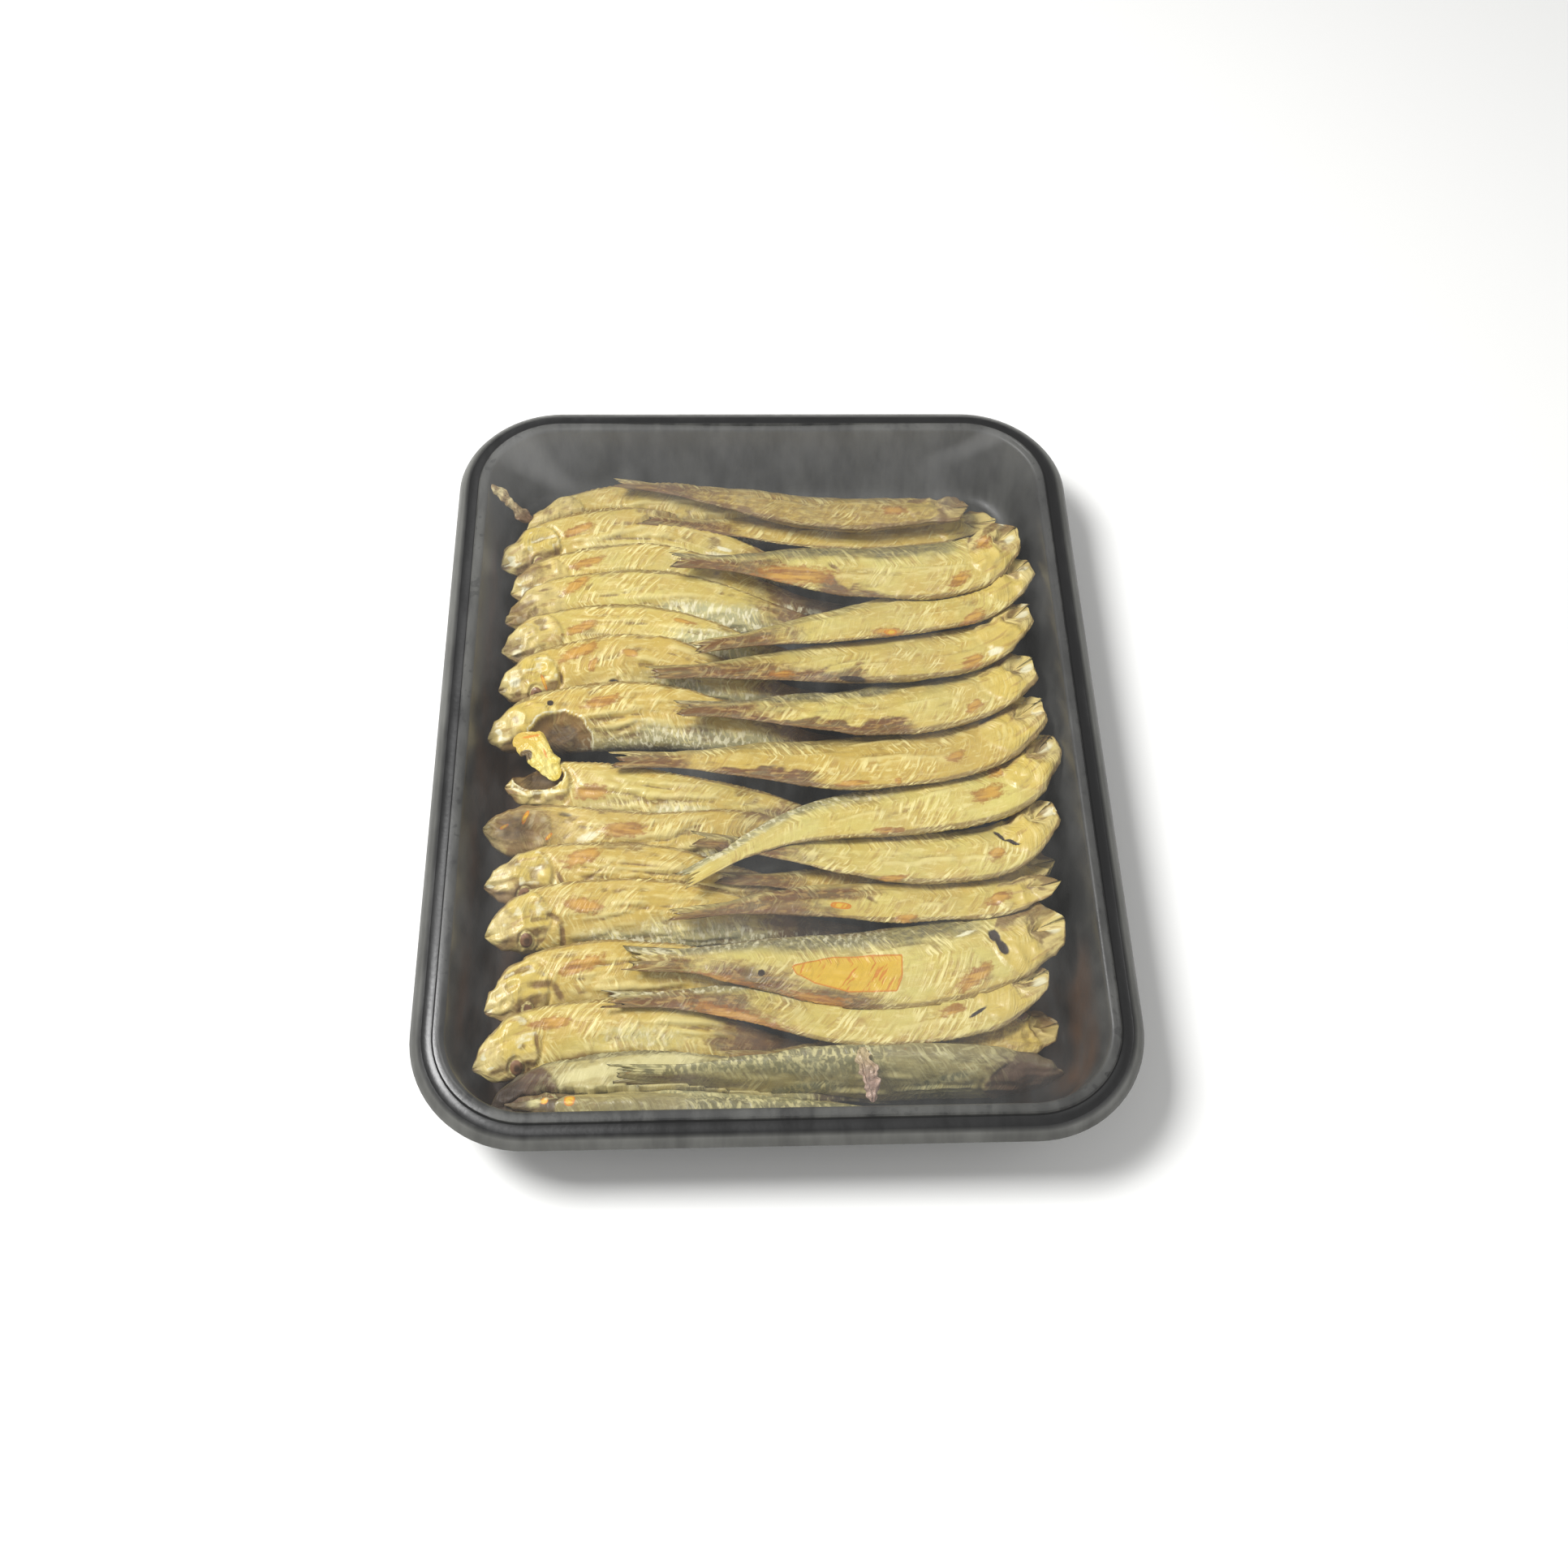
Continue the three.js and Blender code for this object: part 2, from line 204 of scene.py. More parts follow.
class Sheet:
    """A node tree, written down node by node."""

    def __init__(self, tree: bpy.types.NodeTree) -> None:
        """Starts on a tree that is there already."""
        self.tree = tree

    def feed(self, node: bpy.types.Node, inputs: dict[Any, Any]) -> None:
        """Puts a value or another node's output into each of a node's sockets."""
        for key, value in inputs.items():
            if isinstance(value, bpy.types.NodeSocket):
                self.tree.links.new(value, node.inputs[key])
            else:
                node.inputs[key].default_value = value

    def add(self, kind: str, inputs: dict[Any, Any] | None = None, **settings: Any) -> bpy.types.Node:
        """Adds one node.

        Args:
            kind: the node's type.
            inputs: what goes into its sockets, each a value or another node's output.
            settings: its own settings.

        Returns:
            The node.
        """
        node = self.tree.nodes.new(kind)
        for key, value in settings.items():
            setattr(node, key, value)
        self.feed(node, inputs or {})
        return node

    def math(self, operation: str, *values: Any, clamp: bool = False) -> Any:
        """The result of one sum."""
        inputs = dict(enumerate(values))
        return self.add("ShaderNodeMath", inputs, operation=operation, use_clamp=clamp).outputs[0]

    def times(self, first: Any, second: Any) -> Any:
        """Two masks together."""
        return self.math("MULTIPLY", first, second)

    def most(self, first: Any, *others: Any) -> Any:
        """The greatest of some values."""
        for other in others:
            first = self.math("MAXIMUM", first, other)
        return first

    def mix(self, factor: Any, first: Any, second: Any) -> Any:
        """Two colours mixed."""
        inputs = {0: factor, 6: first, 7: second}
        return self.add("ShaderNodeMix", inputs, data_type="RGBA", clamp_factor=True).outputs[2]

    def coat(self, colour: Any, *coats: tuple[Any, Any]) -> Any:
        """A colour under one coat after another, each given as its cover and its colour."""
        for cover, over in coats:
            colour = self.mix(cover, colour, over)
        return colour

    def step(self, value: Any, low: Any, high: Any, to_low: float = 0.0, to_high: float = 1.0) -> Any:
        """A soft step between two values."""
        inputs = {0: value, 1: low, 2: high, 3: to_low, 4: to_high}
        return self.add("ShaderNodeMapRange", inputs, interpolation_type="SMOOTHSTEP").outputs[0]

    def noise(self, vector: Any, scale: float, detail: float = 2.0, roughness: float = 0.5) -> Any:
        """Cloudy noise from 0 to 1."""
        inputs = {"Vector": vector, "Scale": scale, "Detail": detail, "Roughness": roughness}
        return self.add("ShaderNodeTexNoise", inputs).outputs["Fac"]

    def stretch(self, vector: Any, scale: tuple[float, float, float], turn: float = 0.0) -> Any:
        """Coordinates that are stretched, and turned about Z."""
        inputs = {"Vector": vector, "Scale": scale, "Rotation": (0.0, 0.0, turn)}
        return self.add("ShaderNodeMapping", inputs).outputs[0]

    def coordinates(self, kind: str) -> Any:
        """The surface's own coordinates of a kind."""
        return self.add("ShaderNodeTexCoord").outputs[kind]

    def axes(self, vector: Any) -> Any:
        """A vector's X, Y and Z."""
        return self.add("ShaderNodeSeparateXYZ", {0: vector}).outputs

    def bump(self, height: Any, strength: float, distance: float) -> Any:
        """The surface's direction, bent by a small height."""
        inputs = {"Strength": strength, "Distance": distance, "Height": height}
        return self.add("ShaderNodeBump", inputs).outputs[0]

    def split(self, attribute: str) -> list[Any]:
        """The four masks of a colour attribute."""
        colour = self.add("ShaderNodeAttribute", attribute_name=attribute)
        parts = self.add("ShaderNodeSeparateColor", {0: colour.outputs["Color"]})
        return [*(parts.outputs[index] for index in range(3)), colour.outputs["Alpha"]]

    def use(self, group: bpy.types.NodeTree, **inputs: Any) -> Any:
        """What a shared group puts out for these values."""
        return self.add("ShaderNodeGroup", inputs, node_tree=group).outputs[0]


def new_group(name: str, inputs: dict[str, float | None]) -> tuple[Sheet, Any]:
    """A shared group that puts out one value and is empty so far.

    Args:
        name: the group's name.
        inputs: each input's starting value, or None for a vector.

    Returns:
        Its sheet, and its inputs by name.
    """
    tree = bpy.data.node_groups.new(name, "ShaderNodeTree")
    for label, value in inputs.items():
        kind = "NodeSocketVector" if value is None else "NodeSocketFloat"
        socket = tree.interface.new_socket(name=label, in_out="INPUT", socket_type=kind)
        if value is not None:
            socket.default_value = value
    tree.interface.new_socket(name="Value", in_out="OUTPUT", socket_type="NodeSocketFloat")
    return Sheet(tree), tree.nodes.new("NodeGroupInput").outputs


def new_finish(name: str) -> tuple[bpy.types.Material, bpy.types.Node]:
    """An empty finish and its shader."""
    finish = bpy.data.materials.new(name)
    finish.use_nodes = True
    return finish, finish.node_tree.nodes["Principled BSDF"]


class Groups:
    """The effects that more than one finish uses."""

    def __init__(self) -> None:
        """Builds each of them once."""
        self.ragged = self.build_ragged()
        self.wrinkles = self.build_wrinkles()
        self.smears = self.build_smears()

    @staticmethod
    def build_ragged() -> bpy.types.NodeTree:
        """A soft mask that is given a torn, uneven edge."""
        sheet, given = new_group("ragged_edge", {"Mask": 0.0, "Noise": 0.5, "Reach": 0.5, "Softness": 0.12})
        drift = sheet.times(sheet.math("SUBTRACT", given["Noise"], 0.5), given["Reach"])
        low = sheet.math("SUBTRACT", 0.5, given["Softness"])
        high = sheet.math("ADD", 0.5, given["Softness"])
        sheet.add("NodeGroupOutput", {0: sheet.step(sheet.math("ADD", given["Mask"], drift), low, high)})
        return sheet.tree

    @staticmethod
    def build_wrinkles() -> bpy.types.NodeTree:
        """Irregular slanted wrinkles that meet at the middle of the flank."""
        inputs = {"Vector": None, "Fineness": 9.0, "Slope": 0.9, "Bend": 0.5}
        sheet, given = new_group("flank_wrinkles", inputs)
        bend = sheet.times(sheet.noise(given["Vector"], 1.6), given["Bend"])
        parts = sheet.axes(given["Vector"])
        slant = sheet.times(sheet.math("ABSOLUTE", parts[1]), given["Slope"])
        along = sheet.math("ADD", sheet.math("SUBTRACT", parts[0], slant), bend)
        lined = {0: sheet.times(along, given["Fineness"]), 1: sheet.times(parts[1], 2.2)}
        wave = sheet.noise(sheet.add("ShaderNodeCombineXYZ", lined).outputs[0], 1.0)
        sheet.add("NodeGroupOutput", {0: wave})
        return sheet.tree

    @staticmethod
    def build_smears() -> bpy.types.NodeTree:
        """Long soft smears along Y of the vector, as on drawn plastic and on film."""
        sheet, given = new_group("smears", {"Vector": None, "Scale": 6.0, "Contrast": 0.5})
        cloud = sheet.noise(given["Vector"], 1.0, 4.0, 0.6)
        inputs = {0: given["Vector"], 3: given["Scale"]}
        scaled = sheet.add("ShaderNodeVectorMath", inputs, operation="SCALE").outputs[0]
        fine = sheet.math("SUBTRACT", sheet.noise(scaled, 1.0, 3.0, 0.55), 0.5)
        sheet.add("NodeGroupOutput", {0: sheet.math("ADD", cloud, sheet.times(fine, given["Contrast"]))})
        return sheet.tree


# ---------------------------------------------------------------- the tray and its film


@dataclass
class Tray:
    """The black thermoformed tray, from the lip's edge in to the floor."""

    width: float = 177.8 * MM
    length: float = 226 * MM
    height: float = 25 * MM
    radius: float = 29 * MM
    wall: float = 0.9 * MM
    taper: float = math.radians(9)
    back_bow: float = 1.3 * MM
    flange_inset: float = 8.6 * MM
    film_inset: float = 6.3 * MM
    lip_drop: float = 2.8 * MM
    groove_depth: float = 0.7 * MM
    fillet: float = 4 * MM
    corner_steps: int = 18
    side_steps: int = 14
    crease_angle: float = math.radians(35)

    # Insets and heights in millimetres. The heights of the lip and the flange count from the rim, those of
    # the sealing groove from its floor.
    LIP = ((0.7, -1.85), (1.8, -1.15))
    GROOVE = ((3.05, 0.02), (3.3, -0.05), (5.45, -0.05), (5.65, 0.08))
    FLANGE = ((5.9, -0.06), (6.1, 0), (7.7, 0), (8.2, -0.13), (8.55, -0.42))

    def wall_inset(self, z: float | np.ndarray) -> float | np.ndarray:
        """How far the inner wall stands in from the lip's edge at a height."""
        return self.flange_inset + (self.height - z) * math.tan(self.taper)

    def section(self) -> list[tuple[float, float]]:
        """The steps of the upper surface, as inset and height."""
        steps = [(0.0, self.height - self.lip_drop)]
        groove = self.height - self.groove_depth
        for level, turns in ((self.height, self.LIP), (groove, self.GROOVE), (self.height, self.FLANGE)):
            steps += [(inset * MM, level + rise * MM) for inset, rise in turns]
        steps += [(self.wall_inset(z), z) for z in (24.0 * MM, 17 * MM, 10 * MM, self.wall + self.fillet)]
        foot = self.wall_inset(self.wall)
        for turn in (0.3, 0.6, 0.9):
            angle = turn * math.pi / 2
            inset = foot + self.fillet * (1 - math.cos(angle))
            steps.append((inset, self.wall + self.fillet * (1 - math.sin(angle))))
        return [*steps, (foot + self.fillet, self.wall)]

    def bow(self, points: np.ndarray) -> np.ndarray:
        """Bends the back edge in, most at its middle."""
        across = np.clip(points[:, 0] / (self.width / 2 - self.radius), -1, 1)
        far = np.clip(points[:, 1] / (self.length / 2), 0, 1)
        moved = points.copy()
        moved[:, 1] -= self.back_bow * np.cos(across * math.pi / 2) ** 2 * far ** 4
        return moved

    def build(self) -> bpy.types.Object:
        """Draws the tray, gives it its wall and marks its rim."""
        tray = self.draw()
        place(tray.data, self.bow(positions(tray.data)))
        drawn_points = len(tray.data.vertices)
        thicken(tray, self.wall, -1)
        points = positions(tray.data)
        points[:, 2] = np.maximum(points[:, 2], 0)
        place(tray.data, points)
        inner = (np.arange(len(points)) < drawn_points).astype(float)
        paint(tray.data, "rim", [*self.rim_masks(points), inner])
        bpy.ops.object.shade_smooth_by_angle(angle=self.crease_angle)
        return tray

    def draw(self) -> bpy.types.Object:
        """Draws the tray's surface down from its rim, one inset after another."""
        steps = self.section()
        deselect()
        bpy.ops.mesh.primitive_plane_add(size=1)
        tray = bpy.context.object
        tray.name = "tray_shell"
        tray.scale = (self.width, self.length, 1)
        tray.location.z = steps[0][1]
        bpy.ops.object.transform_apply(location=True, rotation=True, scale=True)
        bpy.ops.object.mode_set(mode="EDIT")
        bpy.ops.mesh.select_all(action="SELECT")
        bpy.ops.mesh.bevel(offset=self.radius, affect="VERTICES", segments=self.corner_steps)
        bpy.ops.object.mode_set(mode="OBJECT")
        longest = self.width - 2 * self.radius - MM
        for edge in tray.data.edges:
            start, end = (tray.data.vertices[index].co for index in edge.vertices)
            edge.select = (start - end).length > longest
        bpy.ops.object.mode_set(mode="EDIT")
        bpy.ops.mesh.select_mode(type="EDGE")
        bpy.ops.mesh.delete(type="ONLY_FACE")
        bpy.ops.mesh.subdivide(number_cuts=self.side_steps)
        bpy.ops.mesh.select_all(action="SELECT")
        bpy.ops.mesh.edge_face_add()
        bpy.ops.mesh.select_mode(type="FACE")
        bpy.ops.object.mode_set(mode="OBJECT")
        looks_down = tray.data.polygons[0].normal.z < 0
        bpy.ops.object.mode_set(mode="EDIT")
        if looks_down:
            bpy.ops.mesh.flip_normals()
        for (outer, above), (inner, below) in zip(steps, steps[1:]):
            bpy.ops.mesh.inset(thickness=inner - outer, depth=below - above, use_even_offset=True)
        bpy.ops.object.mode_set(mode="OBJECT")
        return tray

    def rim_masks(self, points: np.ndarray) -> list[np.ndarray]:
        """Where the groove, the lip and the corners of the flange are."""
        inset = self.inset_of(points)
        high = points[:, 2] > self.height - 1.6 * self.lip_drop
        groove = band(inset, 2.7 * MM, 3.1 * MM, 5.7 * MM, 5.9 * MM) * high
        lip = smooth(2.9 * MM, 2.5 * MM, inset) * high
        corner = smooth(0.62, 0.75, np.abs(points[:, 0]) / (self.width / 2))
        corner = corner * smooth(0.66, 0.8, np.abs(points[:, 1]) / (self.length / 2))
        return [groove, lip, band(inset, 5.9 * MM, 6.2 * MM, 8.0 * MM, 8.5 * MM) * high * corner]

    def inset_of(self, points: np.ndarray) -> np.ndarray:
        """How far inside the lip's edge each point lies, seen from above."""
        half = np.array([self.width, self.length]) / 2
        beyond = np.abs(points[:, :2]) - (half - self.radius)
        outside = np.linalg.norm(np.maximum(beyond, 0), axis=1)
        return self.radius - outside - np.minimum(beyond.max(axis=1), 0)


@dataclass
class LidFilm:
    """The clear lidding film, sealed to the flange, with creases pulled into its back corners."""

    tray: Tray
    thickness: float = 0.2 * MM
    underside: float = 25.1 * MM
    relief: float = 0.05 * MM
    cells: int = 150

    NOTHING = 1e-9

    def outline(self, angle: np.ndarray) -> np.ndarray:
        """How far the film's edge lies from the middle in a direction."""
        half = np.array([self.tray.width, self.tray.length]) / 2 - self.tray.film_inset
        radius = self.tray.radius - self.tray.film_inset
        ray = np.stack([np.abs(np.cos(angle)), np.abs(np.sin(angle))], axis=1) + self.NOTHING
        reach = np.min(half / ray, axis=1)
        corner = half - radius
        middle = ray @ corner
        root = middle ** 2 - (corner @ corner - radius ** 2)
        in_corner = np.all(ray * reach[:, None] > corner, axis=1)
        return np.where(in_corner, middle + np.sqrt(np.maximum(root, 0)), reach)

    def build(self) -> bpy.types.Object:
        """Lays the film over the tray and pulls its creases."""
        film = new_grid("film", self.cells, self.cells)
        square = positions(film.data)[:, :2] * 2
        ring = np.max(np.abs(square), axis=1)
        aspect = square * np.array([self.tray.width, self.tray.length])
        angle = np.arctan2(aspect[:, 1], aspect[:, 0])
        reach = ring * self.outline(angle)
        points = np.stack([reach * np.cos(angle), reach * np.sin(angle), np.zeros(len(reach))], axis=1)
        points[np.linalg.norm(square, axis=1) < self.NOTHING, :2] = 0
        points = self.tray.bow(points)
        creases = sum(self.crease(points, side) for side in (-1, 1))
        slack = lattice_noise(points[:, :2] / (22 * MM), 5) * 0.4
        inside = smooth(0.0, 0.08, 1 - ring)
        points[:, 2] = self.underside + (self.thickness / 2 + self.relief * (creases + slack) * inside)
        place(film.data, points)
        # the crease crests, where the film's finish paints highlights
        paint(film.data, "creases", [smooth(0.25, 0.9, creases)])
        thicken(film, self.thickness, 0)
        bpy.ops.object.shade_smooth()
        return film

    def crease(self, points: np.ndarray, side: int) -> np.ndarray:
        """Slanted creases that run out of one back corner."""
        away_x = (self.tray.width / 2 - side * points[:, 0]) / (60 * MM)
        away_y = (self.tray.length / 2 - points[:, 1]) / (70 * MM)
        slant = (side * points[:, 0] * 0.85 - points[:, 1]) / (9 * MM)
        wave = np.sin(slant + 1.5 * lattice_noise(points[:, :2] / (18 * MM), 11 + side))
        return wave * bell(away_x) * bell(away_y)


# ---------------------------------------------------------------- the fish


class Stain(Enum):
    """What a mark on the skin looks like: the mask that it adds to and its relief in millimetres."""

    BROWN = ("brown", 0.0)
    ORANGE = ("orange", 0.0)
    DARK = ("dark", -0.5)
    FIN = ("fin", 0.16)
    # BARE paints pale bone and painted glints, in the glint colour
    BARE = ("bare", 0.0)
    SPOT = ("dark", 0.0)
    # SLIT and the next one add to the darkened mask, which carries the fish's own darker patches and painted
    # shade.
    SLIT = ("murk", -0.4)
    MURK = ("murk", 0.0)
    SILVER = ("silver", 0.0)


@dataclass(frozen=True)
class Mark:
    """A stroke on a fish between two places on the tray's plan, in millimetres."""

    stain: Stain
    start: tuple[float, float]
    end: tuple[float, float]
    wide: float
    depth: float = 1.0

    SQUARENESS = 2.5
    CORE = 1.25
    FADE = 0.75

    def mask(self, points: np.ndarray) -> np.ndarray:
        """How strongly it covers each point: 1 in the middle, a half at its edge."""
        start, end = np.array(self.start), np.array(self.end)
        run = np.linalg.norm(end - start)
        ahead = (end - start) / run if run > 0 else np.array([1.0, 0.0])
        away = points[:, :2] / MM - (start + end) / 2
        along = np.abs(away @ ahead) / max(run / 2, self.wide)
        across = np.abs(away @ np.array([-ahead[1], ahead[0]])) / self.wide
        distance = (along ** self.SQUARENESS + across ** self.SQUARENESS) ** (1 / self.SQUARENESS)
        return self.depth * np.clip(self.CORE - self.FADE * distance, 0, 1)


@dataclass(frozen=True)
class Patch:
    """A many-sided patch on a fish, by its corners on the tray's plan, in millimetres."""

    stain: Stain
    corners: tuple[tuple[float, float], ...]
    soft: float

    def mask(self, points: np.ndarray) -> np.ndarray:
        """How far inside each point lies: a half on its outline, 1 well within."""
        spot = points[:, :2] / MM
        inside = np.full(len(spot), np.inf)
        middle = np.mean(self.corners, axis=0)
        for start, end in zip(self.corners, self.corners[1:] + self.corners[:1]):
            ahead = np.array(end) - np.array(start)
            side = np.array([-ahead[1], ahead[0]]) / np.linalg.norm(ahead)
            side *= np.sign((middle - start) @ side)
            inside = np.minimum(inside, (spot - start) @ side)
        return np.clip(0.5 + inside / self.soft, 0, 1)


# Depth and thickness from the snout, at 0, to the root of the forked tail fin.
BODY_STATIONS = [-0.004, 0, 0.03, 0.08, 0.15, 0.25, 0.37, 0.5, 0.62, 0.74, 0.83, 0.88, 0.93]
BODY_DEPTHS = [0.15, 0.27, 0.47, 0.7, 0.89, 0.97, 1, 0.92, 0.74, 0.5, 0.33, 0.27, 0.3]
BODY_THICKNESSES = [0.2, 0.32, 0.54, 0.78, 0.92, 1, 1, 0.9, 0.68, 0.44, 0.28, 0.18, 0.14]
BODY_ROUNDING = 0.03
SNOUT = BODY_STATIONS[0]
SNOUT_ROUNDING = 0.03
TAIL_ROOT = 0.88
TAIL_END = BODY_STATIONS[-1]
SPINE_STATIONS = [0, 0.15, 0.42, 0.7, 1]

# The attributes on a fish, and the masks that each of them holds. The last attribute holds painted shade, in
# hollows and along edges, and painted highlights on ridges.
SKIN_LAYERS = {
    "shade": ("gold", "grey", "brown", "murk"),
    "marks": ("orange", "dark", "fin", "silver"),
    "parts": ("head", "eye", "bare", "plate"),
    "depth": ("painted_shade", "ridge_highlight"),
}


def profile(stations: np.ndarray, sizes: list[float]) -> np.ndarray:
    """A body size along the fish, rounded between its stations and closed at the snout."""
    blur = np.linspace(-BODY_ROUNDING, BODY_ROUNDING, 9)
    spread = bell(blur / 0.016)
    shifted = (np.interp(stations + shift, BODY_STATIONS, sizes) for shift in blur)
    total = sum(weight * size for weight, size in zip(spread, shifted))
    nose = np.sqrt(np.clip((stations - SNOUT) / SNOUT_ROUNDING, 0, 1))
    return total / spread.sum() * nose


def spline(points: np.ndarray, steps: int = 60) -> np.ndarray:
    """A centripetal curve through the points, as evenly many steps between each two of them."""
    ends = np.vstack([2 * points[0] - points[1], points, 2 * points[-1] - points[-2]])
    share = np.linspace(0, 1, steps, endpoint=False)[:, None]
    pieces = []
    for first, start, end, last in zip(ends, ends[1:], ends[2:], ends[3:]):
        before, between, after = (
            math.sqrt(np.linalg.norm(b - a)) for a, b in ((first, start), (start, end), (end, last)))
        leave = (start - first) / before - (end - first) / (before + between) + (end - start) / between
        arrive = (end - start) / between - (last - start) / (between + after) + (last - end) / after
        leave, arrive = leave * between, arrive * between
        square = -3 * start + 3 * end - 2 * leave - arrive
        cube = 2 * start - 2 * end + leave + arrive
        pieces.append(start + leave * share + square * share ** 2 + cube * share ** 3)
    return np.vstack([*pieces, points[-1:]])


class Spine:
    """A fish's spine, read by how far along it a point lies."""

    NUDGE = 0.004

    def __init__(self, points: np.ndarray) -> None:
        """Draws the curve through the points."""
        self.curve = spline(points)
        steps = np.linalg.norm(np.diff(self.curve, axis=0), axis=1)
        self.run = np.concatenate([[0], np.cumsum(steps)])
        self.length = self.run[-1]

    def read(self, share: np.ndarray) -> np.ndarray:
        """The places at these shares of the curve's length."""
        run = share * self.length
        return np.stack([np.interp(run, self.run, self.curve[:, axis]) for axis in range(3)], axis=1)

    def at(self, station: np.ndarray) -> tuple[np.ndarray, np.ndarray]:
        """The place and the direction at each station, also past the ends.

        Args:
            station: from 0 at the snout to 1 at the end of the curve.

        Returns:
            The places and the directions, one row each.
        """
        inside = np.clip(station, 0, 1)
        before, after = np.clip(inside - self.NUDGE, 0, 1), np.clip(inside + self.NUDGE, 0, 1)
        along = self.read(after) - self.read(before)
        along /= np.linalg.norm(along, axis=1, keepdims=True)
        return self.read(inside) + along * (station - inside)[:, None] * self.length, along


@dataclass(frozen=True)
class Column:
    """What the fish of one column share, from the rise of their spines to their jaws and gill covers."""

    heights: tuple[float, ...]
    sheen: float
    eye: float
    gape: float
    jaws: float
    belly_room: float
    cover: float
    # The next three weigh painted shade: in a ring round the gill cover, in the fine hollows, and how much
    # less of it the head's hollows get.
    cover_rim_shade: float
    pit_shade: float
    head_pit_shade: float
    crumple: float
    mottle: float
    folds: int


RIGHT = Column(heights=(16, 13, 11, 13.5, 17), sheen=0.2, eye=0.12, gape=0.055, jaws=0.45, belly_room=0.12,
               cover=0.5, cover_rim_shade=1.0, pit_shade=0.5, head_pit_shade=0.4, crumple=0.32, mottle=0.45, folds=4)
LEFT = Column(heights=(14, 11.5, 10, 7.5, 3.5), sheen=0.7, eye=0.3, gape=0.012, jaws=0.0, belly_room=0.0,
              cover=1.0, cover_rim_shade=1.5, pit_shade=1.0, head_pit_shade=0.0, crumple=0.4, mottle=0.3, folds=12)


@dataclass(frozen=True)
class Chart:
    """Where each point lies on its fish, with lengths in millimetres.

    The station runs from 0 at the snout towards 1 at the tail. Across goes from -1 at the belly to 1 at
    the back, out from -1 on the hidden flank to 1 on the shown one, and the angle goes round the body.
    The last five are the fish's own uneven patterns, from -1 to 1.
    """

    station: np.ndarray
    across: np.ndarray
    out: np.ndarray
    angle: np.ndarray
    along: np.ndarray
    height: np.ndarray
    half_depth: np.ndarray
    cloud: np.ndarray
    fine: np.ndarray
    tiny: np.ndarray
    crumple: np.ndarray
    gleam: np.ndarray


